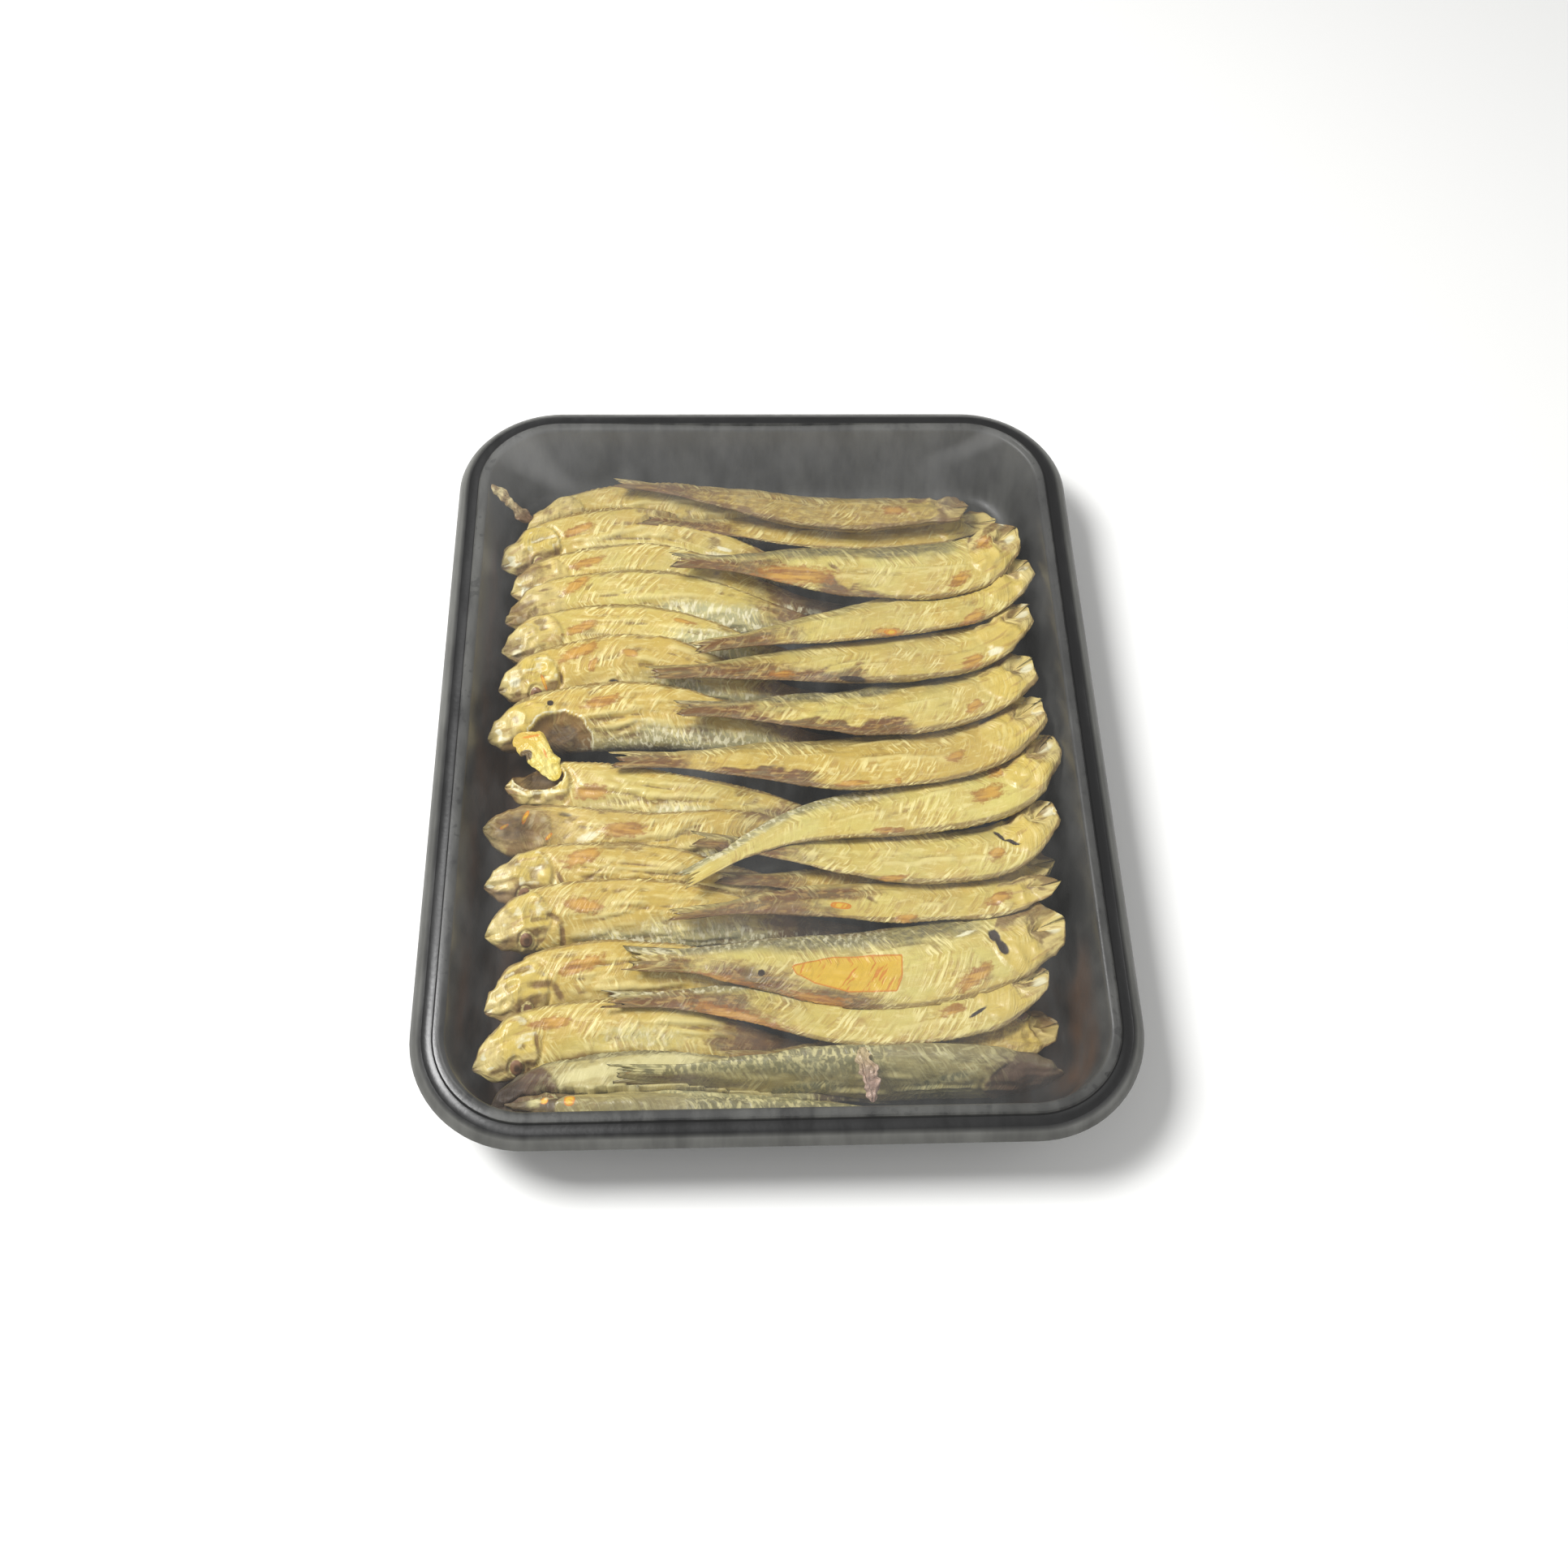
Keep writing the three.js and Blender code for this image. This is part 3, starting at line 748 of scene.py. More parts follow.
@dataclass
class Sprat:
    """One smoked sprat: where it lies, its size, and how it is coloured and marked."""

    name: str
    nose: float
    tail: float
    y: list[float]
    depth: float = 18
    thickness: float = 8.5
    tilt: float = 25
    lift: float = 0
    gold: float = 0.35
    back: float = 0.6
    murk: float = 0.0
    sheen: float | None = None
    eye: float | None = None
    dome: float = 1.0
    gape: float | None = None
    jaws: float | None = None
    brown_from: float = 0.74
    hem: tuple[float, float] | None = None
    marks: list[Mark | Patch] = field(default_factory=list)
    hollow: tuple[tuple[float, float, float], tuple[float, float, float]] | None = None
    grey: bool = False

    ROWS = 184
    COLUMNS = 64
    EYE_AT = (0.095, 0.58)
    EYE_RADIUS = 1.8
    GILL_EDGE = 0.172
    SNOUT_LIFT = 0.16
    FLATNESS = 0.66
    BELLY_SHARP = 1.15
    BROWN = 0.85
    KEEL = 0.3
    BACK_ROOM = 0.14
    FIN_LENGTH = 0.045
    FORK_LENGTH = 0.025
    TATTER = 0.03
    SCUTE_PITCH = 1.7
    FIN_RAYS = 30
    SKIN_GAP = 20
    DEPTH_CELL = 6.0
    # the darkest painted shade, at the hidden tail ends and in the torn hollows
    DEEPEST_SHADE = 0.52

    # Where a part begins and where it is full, along the fish.
    BODY = (0.165, 0.2)
    BODY_CLOSE = (0.82, 0.9)
    BEHIND_HEAD = (0.14, 0.24)
    COVER_FRONT = (0.058, 0.085)
    SILVER_FRONT = (0.3, 0.45)
    REAR_BELLY = (0.45, 0.75)
    TAIL_RAYS = (0.86, 0.9)
    HINGE = 0.07

    # The same across the fish, from the belly at -1 to the back at 1.
    BACK = (0.05, 0.65)
    LOW_FLANK = (0.75, -0.15)
    SILVER_SIDE = (-0.1, 0.6)
    COVER_TOP = (0.45, 0.15)
    NAPE = (0.15, 0.55)

    def __post_init__(self) -> None:
        """Fills in what the fish shares with its column."""
        self.column = LEFT if self.nose < 0 else RIGHT
        for part in ("sheen", "eye", "gape", "jaws"):
            if getattr(self, part) is None:
                setattr(self, part, getattr(self.column, part))

    @property
    def seed(self) -> int:
        """A number of its own, so that no two fish are alike."""
        return int(self.name[-2:]) + (50 if self.nose > 0 else 0) + (100 if self.grey else 0)

    @property
    def slot(self) -> str:
        """The name of the pack's material slot for the fish."""
        return "skin_grey" if self.name.startswith("fish_b") else "skin_golden"

    def noise(self, spot: np.ndarray, cell: tuple[float, ...], pick: int, shift: float = 0.0) -> np.ndarray:
        """Smooth noise of the fish's own, in cells of this size."""
        return lattice_noise(spot / np.array(cell) + shift, self.seed + pick)

    def build(self, heap: "Heap", finish: bpy.types.Material) -> bpy.types.Object:
        """Wraps the fish, carves its relief and lays it under the pieces above.

        Args:
            heap: the pieces laid so far.
            finish: the fish's skin.

        Returns:
            The finished fish.
        """
        fish = new_grid("sprat_" + self.name[-3:], self.ROWS, self.COLUMNS)
        chart, points, normal = self.wrap(positions(fish.data) + np.array([0.5, 0.5, 0]))
        masks = self.flank_masks(chart)
        self.add_head(chart, masks)
        sunk = self.add_marks(chart, points * MM, masks)
        rise, detail = self.relief(chart, masks, sunk)
        points += normal * rise[:, None]
        masks["painted_shade"], masks["ridge_highlight"] = self.shade_and_highlight(chart, masks, detail)
        points *= MM
        points = self.open_hollow(points, chart, masks)
        place(fish.data, heap.settle(points))
        self.unwrap(fish.data, chart)
        for layer, names in SKIN_LAYERS.items():
            paint(fish.data, layer, [masks[name] for name in names])
        close_up(fish)
        heap.add(fish)
        hand_in(fish, self.name, self.slot, finish)
        return fish

    def wrap(self, grid: np.ndarray) -> tuple[Chart, np.ndarray, np.ndarray]:
        """Wraps a flat grid round the spine.

        Args:
            grid: each point's place on the grid, from 0 to 1 both ways.

        Returns:
            The chart of the fish, its points in millimetres, and the directions that they face.
        """
        run = 0.6 * grid[:, 0] + 0.4 * grid[:, 0] ** 2.2
        station = SNOUT + (TAIL_END - SNOUT) * run
        crowd = 0.3 * (1 - smooth(0.86, 0.92, station)) * smooth(SNOUT, 0.04, station)
        angle = math.tau * grid[:, 1] - math.pi / 2 + crowd * np.sin(math.tau * grid[:, 1])
        across, out = np.cos(angle), np.sin(angle)
        half_depth, half_thickness = self.girth(station, across)
        middle, back, flank, length = self.frame_of(self.reach(station, across))
        snout = self.SNOUT_LIFT * self.depth / 2 * (1 - smooth(0.0, 0.13, station))
        middle = middle + back * snout[:, None]
        room = np.where(across < 0, self.column.belly_room, self.BACK_ROOM)
        along, height = station * length, half_depth * across
        flat = np.sign(out) * np.abs(out) ** np.where(across < 0, self.BELLY_SHARP, self.FLATNESS)
        points = middle + back * (height * (1 + room))[:, None] + flank * (half_thickness * flat)[:, None]
        normal = back * (across * (half_thickness + 0.3))[:, None] + flank * (out * half_depth)[:, None]
        normal /= np.maximum(np.linalg.norm(normal, axis=1, keepdims=True), 1e-6)
        chart = Chart(station, across, out, angle, along, height, half_depth, *self.patterns(along, height))
        return chart, points, normal

    def girth(self, station: np.ndarray, across: np.ndarray) -> tuple[np.ndarray, np.ndarray]:
        """Half the fish's depth and thickness, in millimetres, keeled at the belly and spread at the jaws."""
        spread = 1 - smooth(0.0, 0.1, station) + (station < -0.001)
        half_depth = profile(station, BODY_DEPTHS) * self.depth / 2
        half_depth = half_depth * (1 + self.jaws * spread)
        half_thickness = profile(station, BODY_THICKNESSES) * self.thickness / 2
        keel = 1 - self.KEEL * (1 - across) / 2
        half_thickness = half_thickness * keel * (1 - smooth(0.9, TAIL_END, station))
        if self.jaws > 0:
            half_thickness = half_thickness * smooth(SNOUT, 0.03, station)
        return half_depth, half_thickness

    def reach(self, station: np.ndarray, across: np.ndarray) -> np.ndarray:
        """How far along the spine each point lies, with the forked tail drawn out and the jaws notched."""
        tail = np.clip((station - TAIL_ROOT) / (TAIL_END - TAIL_ROOT), 0, 1)
        tatter = self.noise(np.stack([across * 6, np.zeros(len(across))], axis=1), (1, 1), 0)
        fork = self.FIN_LENGTH + self.FORK_LENGTH * np.abs(across) - self.TATTER * np.maximum(tatter, 0)
        notch = np.clip(1 - np.abs(across + 0.1) / 0.7, 0, 1) + 0.12 * tatter
        return station + tail * fork + self.gape * notch * (1 - smooth(0.0, 0.11, station))

    def frame_of(self, station: np.ndarray) -> tuple[np.ndarray, np.ndarray, np.ndarray, float]:
        """The spine's places and the directions of the back and of the upper flank.

        Args:
            station: how far along the fish each point lies.

        Returns:
            The places, the back's and the flank's directions, in millimetres, and the fish's length.
        """
        knots = [
            (self.nose + (self.tail - self.nose) * share, y, height + self.lift)
            for share, y, height in zip(SPINE_STATIONS, self.y, self.column.heights)
        ]
        spine = Spine(np.array(knots, dtype=float))
        middle, along = spine.at(station)
        level = np.stack([-along[:, 1], along[:, 0], np.zeros(len(along))], axis=1)
        level /= np.linalg.norm(level, axis=1, keepdims=True)
        level *= np.sign(level[:, 1:2]) * math.copysign(1, self.nose)
        turn = (math.radians(self.tilt) * (1 - 0.5 * np.maximum(station - 0.5, 0)))[:, None]
        up = np.array([0.0, 0.0, 1.0])
        back = level * np.cos(turn) - up * np.sin(turn)
        flank = level * np.sin(turn) + up * np.cos(turn)
        return middle, back, flank, spine.length

    def patterns(self, along: np.ndarray, height: np.ndarray) -> list[np.ndarray]:
        """The fish's own uneven patterns, which its colours and relief share."""
        spot = np.stack([along, height], axis=1)
        cells = (((11, 6), 0), ((5, 2), 1), ((1.8, 1), 4), ((4.2, 2.6), 8), ((2.4, 1.3), 9))
        cloud, fine, tiny, crumple, gleam = (self.noise(spot, cell, pick, self.seed) for cell, pick in cells)
        return [cloud, fine, tiny, 1 - 2.2 * np.abs(crumple), gleam]

    def unwrap(self, mesh: bpy.types.Mesh, chart: Chart) -> None:
        """Lays the skin out flat, in centimetres, with the middle of the shown flank at 0."""
        around = (chart.angle / math.pi - 0.5) * 2.2 * chart.half_depth
        skin = np.stack([chart.along, around], axis=1) / 10
        skin[:, 0] += self.seed * self.SKIN_GAP
        corners = np.empty(len(mesh.loops), dtype=np.int64)
        mesh.loops.foreach_get("vertex_index", corners)
        mesh.uv_layers.active.data.foreach_set("uv", skin[corners].ravel())

    def flank_masks(self, chart: Chart) -> Masks:
        """Where the body is golden, grey, brown, darkened and silver. The head later adds painted shade to
        the darkened mask.

        Args:
            chart: where each point lies on the fish.

        Returns:
            These masks, from 0 to 1, by name.
        """
        station, across, fine = chart.station, chart.across, chart.fine
        belly = smooth(0.8, 0.97, -across + 0.08 * fine)
        rear = smooth(self.brown_from - 0.14, self.brown_from + 0.1, station + 0.05 * fine)
        low = smooth(*self.LOW_FLANK, across + 0.3 * chart.cloud)
        grey = self.back * smooth(*self.BACK, across + 0.14 * fine) * smooth(*self.BEHIND_HEAD, station)
        grey = grey * (1 - 0.4 * self.sheen)
        brown = self.BROWN * rear * (0.35 + 0.65 * low)
        if self.hem is not None:
            start, end = self.hem
            hem = band(station, start, start + 0.08, end - 0.06, end)
            hem = hem * smooth(0.5, 0.78, -across + 0.18 * fine + 0.12 * chart.tiny)
            brown = np.maximum(brown, 0.95 * hem)
        speckle = smooth(-0.3, 0.5, fine + chart.tiny)
        silver = self.sheen * smooth(*self.SILVER_SIDE, across + 0.3 * chart.cloud)
        return {
            "gold": self.gold + 0.22 * chart.cloud + 0.12 * smooth(0.1, 0.9, -across),
            "grey": np.maximum(grey, 0.75 * rear * (1 - low)),
            "brown": brown,
            "murk": self.murk + 0.6 * belly * smooth(*self.REAR_BELLY, station) * speckle,
            "silver": silver * smooth(*self.SILVER_FRONT, station),
            "orange": np.zeros(len(station)),
            "fin": np.zeros(len(station)),
        }

    def add_head(self, chart: Chart, masks: Masks) -> None:
        """Adds the head, its gill cover and eye, its own mottling, painted shade at the nape, the jaw hinge,
        the throat and the hidden end of a left-hand tail, and its pale bones with painted glints to the
        masks.
        """
        station, across, fine = chart.station, chart.across, chart.fine
        edge = self.gill_edge(across)
        head = 1 - smooth(edge - 0.004, edge + 0.004, station)
        plate = smooth(*self.COVER_FRONT, station + 0.006 * chart.crumple)
        plate = self.dome * (plate * smooth(*self.COVER_TOP, across + 0.1 * chart.crumple))
        plate = plate * smooth(1.0, 0.86, -across) * head
        nape = smooth(*self.NAPE, across + 0.25 * fine) * head
        mottle = (head - plate) * smooth(0.02, 0.5, fine + 0.8 * chart.tiny)
        hinge = bell((station - self.HINGE) / 0.012) * smooth(0.5, -0.6, across)
        hinge = hinge * smooth(-0.4, 0.5, chart.cloud + fine)
        # painted shade at the nape and in the jaw hinge
        murk = masks["murk"] + 0.75 * nape * smooth(-0.8, 0.2, fine) + 0.4 * head * hinge
        murk = np.maximum(murk, self.column.mottle * mottle)
        gleams = smooth(0.15, 0.55, chart.gleam)
        dark = np.zeros(len(station))
        if self.column is LEFT:
            # the pale snout tip, with painted glints
            jaw = head * smooth(0.07, 0.03, station) * smooth(0.7, 0.3, np.abs(across + 0.15)) * gleams
            # painted shade on the end of the tail, which lies under the right-hand fish
            murk = np.maximum(murk, 0.9 * smooth(self.brown_from, self.brown_from + 0.1, station))
            start = self.brown_from + 0.02
            dark = self.DEEPEST_SHADE * smooth(start, self.brown_from + 0.14, station + 0.03 * fine)
        else:
            lips = smooth(0.4, 0.75, np.abs(across + 0.1))
            # the pale jaw tips, with painted glints
            jaw = 0.8 * smooth(0.05, 0.02, station) * lips * smooth(-1, 0.5, across) * gleams ** 0.3
            # painted shade in the open throat
            throat = smooth(0.13, 0.05, station) * smooth(0.85, 0.35, np.abs(across + 0.1))
            murk = np.maximum(murk, 0.7 * throat * smooth(-0.5, 0.5, fine + chart.tiny))
        # how much painted glint the gill cover gets
        plate_glint_share = 1.0 if self.column is LEFT and self.hollow is None else 0.3
        bare = 0.75 * np.maximum(jaw, 0.7 * plate_glint_share * gleams * plate)
        seen = smooth(0.2, 0.35, np.full(len(station), self.eye))
        eye = np.clip(1 - self.eye_distance(chart) / 2, 0, 1) * seen
        masks.update(head=head, plate=plate, eye=eye, murk=murk, dark=dark, bare=bare)

    def add_marks(self, chart: Chart, points: np.ndarray, masks: Masks) -> np.ndarray:
        """Lays the fish's own marks over its masks, and tells how far they lift or sink the skin."""
        sunk = np.zeros(len(points))
        for mark in self.marks:
            name, rise = mark.stain.value
            cover = mark.mask(points) * (chart.out > -0.2)
            masks[name] = np.maximum(masks[name], cover)
            sunk = sunk + rise * smooth(0.35, 0.75, cover)
        return sunk

    def shade_and_highlight(self, chart: Chart, masks: Masks, detail: np.ndarray) -> tuple[np.ndarray, np.ndarray]:
        """Painted shade in the skin's hollows, along its belly and back edges and in a ring round the gill
        cover, and painted highlights on its ridges.
        """
        across, head, plate = chart.across, masks["head"], masks["plate"]
        # painted shade along the belly edge and the back edge
        edge = np.maximum(smooth(0.9, 0.985, -across), 0.6 * smooth(0.75, 0.98, across + 0.15 * chart.fine))
        # painted shade in a ring round the gill cover
        rim = self.column.cover_rim_shade * plate * (1 - plate) * smooth(-0.4, 0.4, chart.crumple)
        # painted shade in the fine hollows of the relief
        pit_shade = smooth(-0.05, -0.36, detail) * (self.column.pit_shade - self.column.head_pit_shade * head)
        # painted highlight on the fine ridges of the relief
        ridge_highlight = smooth(0.1, 0.45, detail) * smooth(1.0, 0.85, np.abs(across)) * (1 - 0.7 * head)
        return np.maximum(pit_shade, np.maximum(edge, rim)), ridge_highlight

    def gill_edge(self, across: np.ndarray) -> np.ndarray:
        """Where the gill cover ends, furthest back a little below the middle."""
        return self.GILL_EDGE - 0.05 * (across + 0.12) ** 2

    def eye_distance(self, chart: Chart) -> np.ndarray:
        """How far each point lies from the middle of the eye, in radii of its ball."""
        ahead, up = self.EYE_AT
        centre = ahead * (chart.along.max() / chart.station.max())
        lift = up * np.interp(ahead, BODY_STATIONS, BODY_DEPTHS) * self.depth / 2
        return np.hypot(chart.along - centre, chart.height - lift) / self.EYE_RADIUS

    def relief(self, chart: Chart, masks: Masks, sunk: np.ndarray) -> tuple[np.ndarray, np.ndarray]:
        """How far the skin stands out, in millimetres.

        Args:
            chart: where each point lies on the fish.
            masks: its colours and parts.
            sunk: how far its marks lift or sink it.

        Returns:
            All of the relief, and the part of it that is finer than the body's own lumps.
        """
        station, across, along, height = chart.station, chart.across, chart.along, chart.height
        spot = np.stack([along, height, self.DEPTH_CELL * (chart.out > 0)], axis=1)

        def noise(cell: tuple[float, ...], pick: int) -> np.ndarray:
            """Noise of its own on either flank."""
            return self.noise(spot, (*cell, self.DEPTH_CELL), pick)

        body = smooth(*self.BODY, station) * (1 - smooth(*self.BODY_CLOSE, station))
        rise = 0.26 * noise((8, 2), 2) * body
        rise += 0.09 * noise((2.6, 1.3), 3)
        rise += self.creases(along, height) * smooth(-0.3, 0.4, noise((7, 4), 6)) * body
        rise += self.folds(along, height) * body * (chart.out > -0.3)
        rise += self.column.crumple * chart.crumple * masks["head"]
        scutes = 0.24 * np.abs(np.sin(along * math.pi / self.SCUTE_PITCH)) * smooth(0.93, 0.995, -across)
        rise += scutes * smooth(0.16, 0.2, station) * (station < 0.72)
        rays = np.sin(across * self.FIN_RAYS + 0.3 * along)
        rise += 0.12 * rays * smooth(*self.TAIL_RAYS, station) * smooth(TAIL_END, 0.91, station)
        detail = rise.copy()
        lumps = 0.45 * noise((15, 7), 0) + sunk + 0.5 * noise((4, 3), 12) * masks["head"]
        rise += lumps + self.head_relief(chart, masks)
        quiet = band(station, SNOUT, 0.014, 0.9, TAIL_END)
        return rise * quiet, detail

    def creases(self, along: np.ndarray, height: np.ndarray) -> np.ndarray:
        """Uneven slanted creases over the muscles, which meet at the middle of the flank."""
        slanted = np.stack([(along - 0.85 * np.abs(height - 0.8)) / 1.5, height / 5], axis=1)
        return 0.12 * self.noise(slanted, (1, 1), 5, self.seed)

    def folds(self, along: np.ndarray, height: np.ndarray) -> np.ndarray:
        """Long folds where the dried skin has come loose, each with one steep side."""
        draw = np.random.default_rng(self.seed)
        rise = np.zeros(len(along))
        for _ in range(self.column.folds):
            start, length = draw.uniform(18, 55), draw.uniform(10, 28)
            level, slope = draw.uniform(-0.7, 0.6) * self.depth / 2, draw.uniform(-0.09, 0.09)
            width, tall = draw.uniform(0.4, 1.1), draw.uniform(0.2, 0.5)
            run = (along - start) / length
            line = level + slope * (along - start) + 0.5 * np.sin(run * 5)
            away = (height - line) / width
            ends = band(run, 0.0, 0.2, 0.8, 1.0)
            rise += tall * ends * (bell(away) - 0.8 * bell((away - 1.3) / 0.6))
        return rise

    def head_relief(self, chart: Chart, masks: Masks) -> np.ndarray:
        """The domed gill cover, the sunken hinge of the jaw and the eye."""
        station, across = chart.station, chart.across
        round_off = smooth(0.99, 0.72, np.abs(across))
        clear = self.dome * self.column.cover
        rise = 0.4 * clear * masks["plate"] * round_off
        loose = smooth(-0.5, 0.3, self.noise(np.stack([across * 2, station * 4], axis=1), (1, 1), 11))
        rise -= 0.55 * clear * loose * bell((station - self.gill_edge(across) - 0.008) / 0.006) * round_off
        rise -= 0.2 * bell((station - 0.066) / 0.01) * smooth(0.5, 0.1, across)
        rise -= 0.4 * smooth(0.4, 0.6, across) * masks["head"]
        away = self.eye_distance(chart)
        ball = 0.6 * np.sqrt(np.clip(1 - away ** 2, 0, 1)) - 0.45 * bell((away - 1.2) / 0.2)
        rise += self.eye * (ball + 0.25 * bell((away - 1.6) / 0.2))
        return rise

    def open_hollow(self, points: np.ndarray, chart: Chart, masks: Masks) -> np.ndarray:
        """Scoops the torn gill opening out of the head, with brown walls that painted shade darkens towards
        the middle, and a pale rim.
        """
        if self.hollow is None:
            return points
        centre, radii = (np.array(triple) * MM for triple in self.hollow)
        away = (points[:, :2] - centre[:2]) / radii[:2]
        inside = 1 - (away ** 2).sum(axis=1) + 0.12 * chart.crumple
        floor = centre[2] - radii[2] * np.sqrt(np.clip(inside, 0, 1))
        scooped = (inside > 0) & (points[:, 2] > floor)
        points[scooped, 2] = floor[scooped]
        opening = smooth(-0.1, 0.1, inside)
        masks["murk"] = np.maximum(masks["murk"], opening)
        masks["bare"] = np.maximum(masks["bare"] * (1 - opening), 0.8 * bell((inside + 0.14) / 0.08))
        # painted shade, deeper towards the middle of the hollow
        masks["dark"] = np.maximum(masks["dark"], smooth(0.0, 0.7, inside) * self.DEEPEST_SHADE)
        return points


class Heap:
    """The pieces laid so far, which the next ones give way to."""

    GAP = 0.3 * MM
    GIVE = 0.5 * MM
    LOWEST = 1.2 * MM
    HIGHEST = 24.9 * MM
    LEAST_RADIUS = 10 * MM
    RAY_START = -0.01

    def __init__(self, tray: Tray) -> None:
        """Starts with an empty tray."""
        self.tray = tray
        self.above: list[tuple[np.ndarray, np.ndarray, BVHTree]] = []

    def add(self, piece: bpy.types.Object) -> None:
        """Keeps a piece that is in its place, for the next ones to lie under."""
        points = positions(piece.data)
        tree = BVHTree.FromPolygons(points.tolist(), [tuple(face.vertices) for face in piece.data.polygons])
        self.above.append((points.min(axis=0), points.max(axis=0), tree))

    def press(self, height: np.ndarray, ceiling: np.ndarray) -> np.ndarray:
        """Heights eased down under a ceiling, in the same order as before."""
        start = ceiling - self.GIVE
        eased = ceiling - self.GIVE * np.exp(-np.maximum(height - start, 0) / self.GIVE)
        return np.where(height > start, eased, height)

    def settle(self, points: np.ndarray) -> np.ndarray:
        """Lays a new piece under the ones above and inside the tray.

        Args:
            points: the new piece's vertices.

        Returns:
            The vertices where they come to lie.
        """
        points = points.copy()
        points[:, 2] = self.press(points[:, 2], np.full(len(points), self.HIGHEST))
        upward = Vector((0, 0, 1))
        for low, high, tree in self.above:
            near = np.all((points[:, :2] > low[:2]) & (points[:, :2] < high[:2]), axis=1)
            near &= points[:, 2] > low[2] - self.GAP - self.GIVE
            chosen = np.flatnonzero(near)
            ceilings = np.full(len(chosen), np.inf)
            for index, (x, y) in enumerate(points[chosen, :2]):
                hit = tree.ray_cast(Vector((x, y, self.RAY_START)), upward)[0]
                if hit is not None:
                    ceilings[index] = hit.z - self.GAP
            under = np.isfinite(ceilings)
            chosen = chosen[under]
            points[chosen, 2] = self.press(points[chosen, 2], ceilings[under])
        points[:, 2] = np.maximum(points[:, 2], self.LOWEST)
        return self.keep_inside(points)

    def keep_inside(self, points: np.ndarray) -> np.ndarray:
        """Holds the points off the tray's walls and round corners."""
        inset = self.tray.wall_inset(points[:, 2]) + self.GAP
        radius = np.maximum(self.tray.radius - inset, self.LEAST_RADIUS)
        half = np.array([self.tray.width, self.tray.length]) / 2
        straight = half - inset[:, None] - radius[:, None]
        beyond = np.abs(points[:, :2]) - straight
        outside = np.maximum(beyond, 0)
        length = np.linalg.norm(outside, axis=1)
        shrink = np.where(length > radius, radius / np.maximum(length, 1e-9), 1)
        held = np.minimum(np.abs(points[:, :2]), straight + outside * shrink[:, None])
        points[:, :2] = np.where(beyond > 0, np.sign(points[:, :2]) * held, points[:, :2])
        return points


@dataclass
class Scrap:
    """A torn flake of skin or flesh, along a route in millimetres."""

    node: str
    route: list[tuple[float, float, float]]
    wide: float
    thick: float
    slot: str
    seed: int
    marks: list[Mark] = field(default_factory=list)
    torn: float = 0.3

    ROWS = 100
    COLUMNS = 48

    def build(self, heap: Heap, finish: bpy.types.Material) -> bpy.types.Object:
        """Wraps the flake round its route, with a torn edge.

        Args:
            heap: the pieces laid so far.
            finish: the flake's look.

        Returns:
            The finished flake.
        """
        scrap = new_grid(self.node + "_flake", self.ROWS, self.COLUMNS)
        grid = positions(scrap.data) + np.array([0.5, 0.5, 0])
        station, angle = grid[:, 0], math.tau * grid[:, 1]
        middle, along = Spine(np.array(self.route, dtype=float)).at(station)
        across = np.cross([0.0, 0.0, 1.0], along)
        across /= np.linalg.norm(across, axis=1, keepdims=True)
        out = np.cross(along, across)
        swell = np.sqrt(np.clip(np.sin(station * math.pi), 0, 1))
        edge = np.stack([station * 4, np.sign(np.cos(angle)) * 3], axis=1)
        torn = 1 + self.torn * (lattice_noise(edge, self.seed) + 0.4 * lattice_noise(edge * 4, self.seed + 1))
        folds = np.stack([station * 6, np.cos(angle) * 3], axis=1)
        wrinkle = 1 - 2 * np.abs(lattice_noise(folds, self.seed + 2))
        wrinkle = wrinkle + 0.4 * lattice_noise(folds * 3, self.seed + 3)
        sides = self.wide * swell * torn * np.cos(angle)
        rise = (self.thick * np.sin(angle) + 0.7 * self.thick * wrinkle) * swell
        points = (middle + across * sides[:, None] + out * rise[:, None]) * MM
        place(scrap.data, heap.settle(points))
        covers = {"orange": np.zeros(len(points)), "dark": np.zeros(len(points))}
        for mark in self.marks:
            name = mark.stain.value[0]
            covers[name] = np.maximum(covers[name], mark.mask(points))
        paint(scrap.data, "marks", [*covers.values(), 1 - station])
        close_up(scrap)
        heap.add(scrap)
        hand_in(scrap, self.node, self.slot, finish)
        return scrap


# ---------------------------------------------------------------- finishes


class SkinSheet(Sheet):
    """A sheet for a fish's skin, with its masks and the patterns that its colours and relief share."""

    def __init__(self, tree: bpy.types.NodeTree, groups: Groups) -> None:
        """Reads the masks and adds the patterns.

        Args:
            tree: the finish's node tree.
            groups: the shared effects.
        """
        super().__init__(tree)
        self.groups = groups
        self.masks = {}
        for layer, names in SKIN_LAYERS.items():
            self.masks.update(zip(names, self.split(layer)))
        skin = self.coordinates("UV")
        self.cloud = self.noise(self.stretch(skin, (0.7, 1.6, 1.0)), 1.2, 3.0, 0.6)
        self.grain = self.noise(self.stretch(skin, (1.6, 3.4, 1.0)), 3.0, 4.0, 0.65)
        self.flow = self.noise(self.stretch(skin, (0.9, 6.5, 1.0)), 1.0, 3.0, 0.6)
        self.fleck = self.noise(self.stretch(skin, (3.2, 11.0, 1.0), 0.2), 1.0)
        self.scales = self.noise(self.stretch(skin, (8.0, 5.0, 1.0)), 1.0)
        self.pepper = self.noise(skin, 16.0, 2.0, 0.6)
        self.wrinkled = self.step(self.noise(skin, 1.1), 0.43, 0.56)
        self.wrinkles = self.use(groups.wrinkles, Vector=skin, Fineness=10.0, Slope=0.9, Bend=0.2)
        self.hairs = self.use(groups.wrinkles, Vector=skin, Fineness=20.0, Slope=0.7, Bend=0.2)

    def ragged(self, mask: str, reach: float, softness: float) -> Any:
        """One of the masks with a torn edge."""
        values = {"Mask": self.masks[mask], "Noise": self.grain, "Reach": reach, "Softness": softness}
        return self.use(self.groups.ragged, **values)


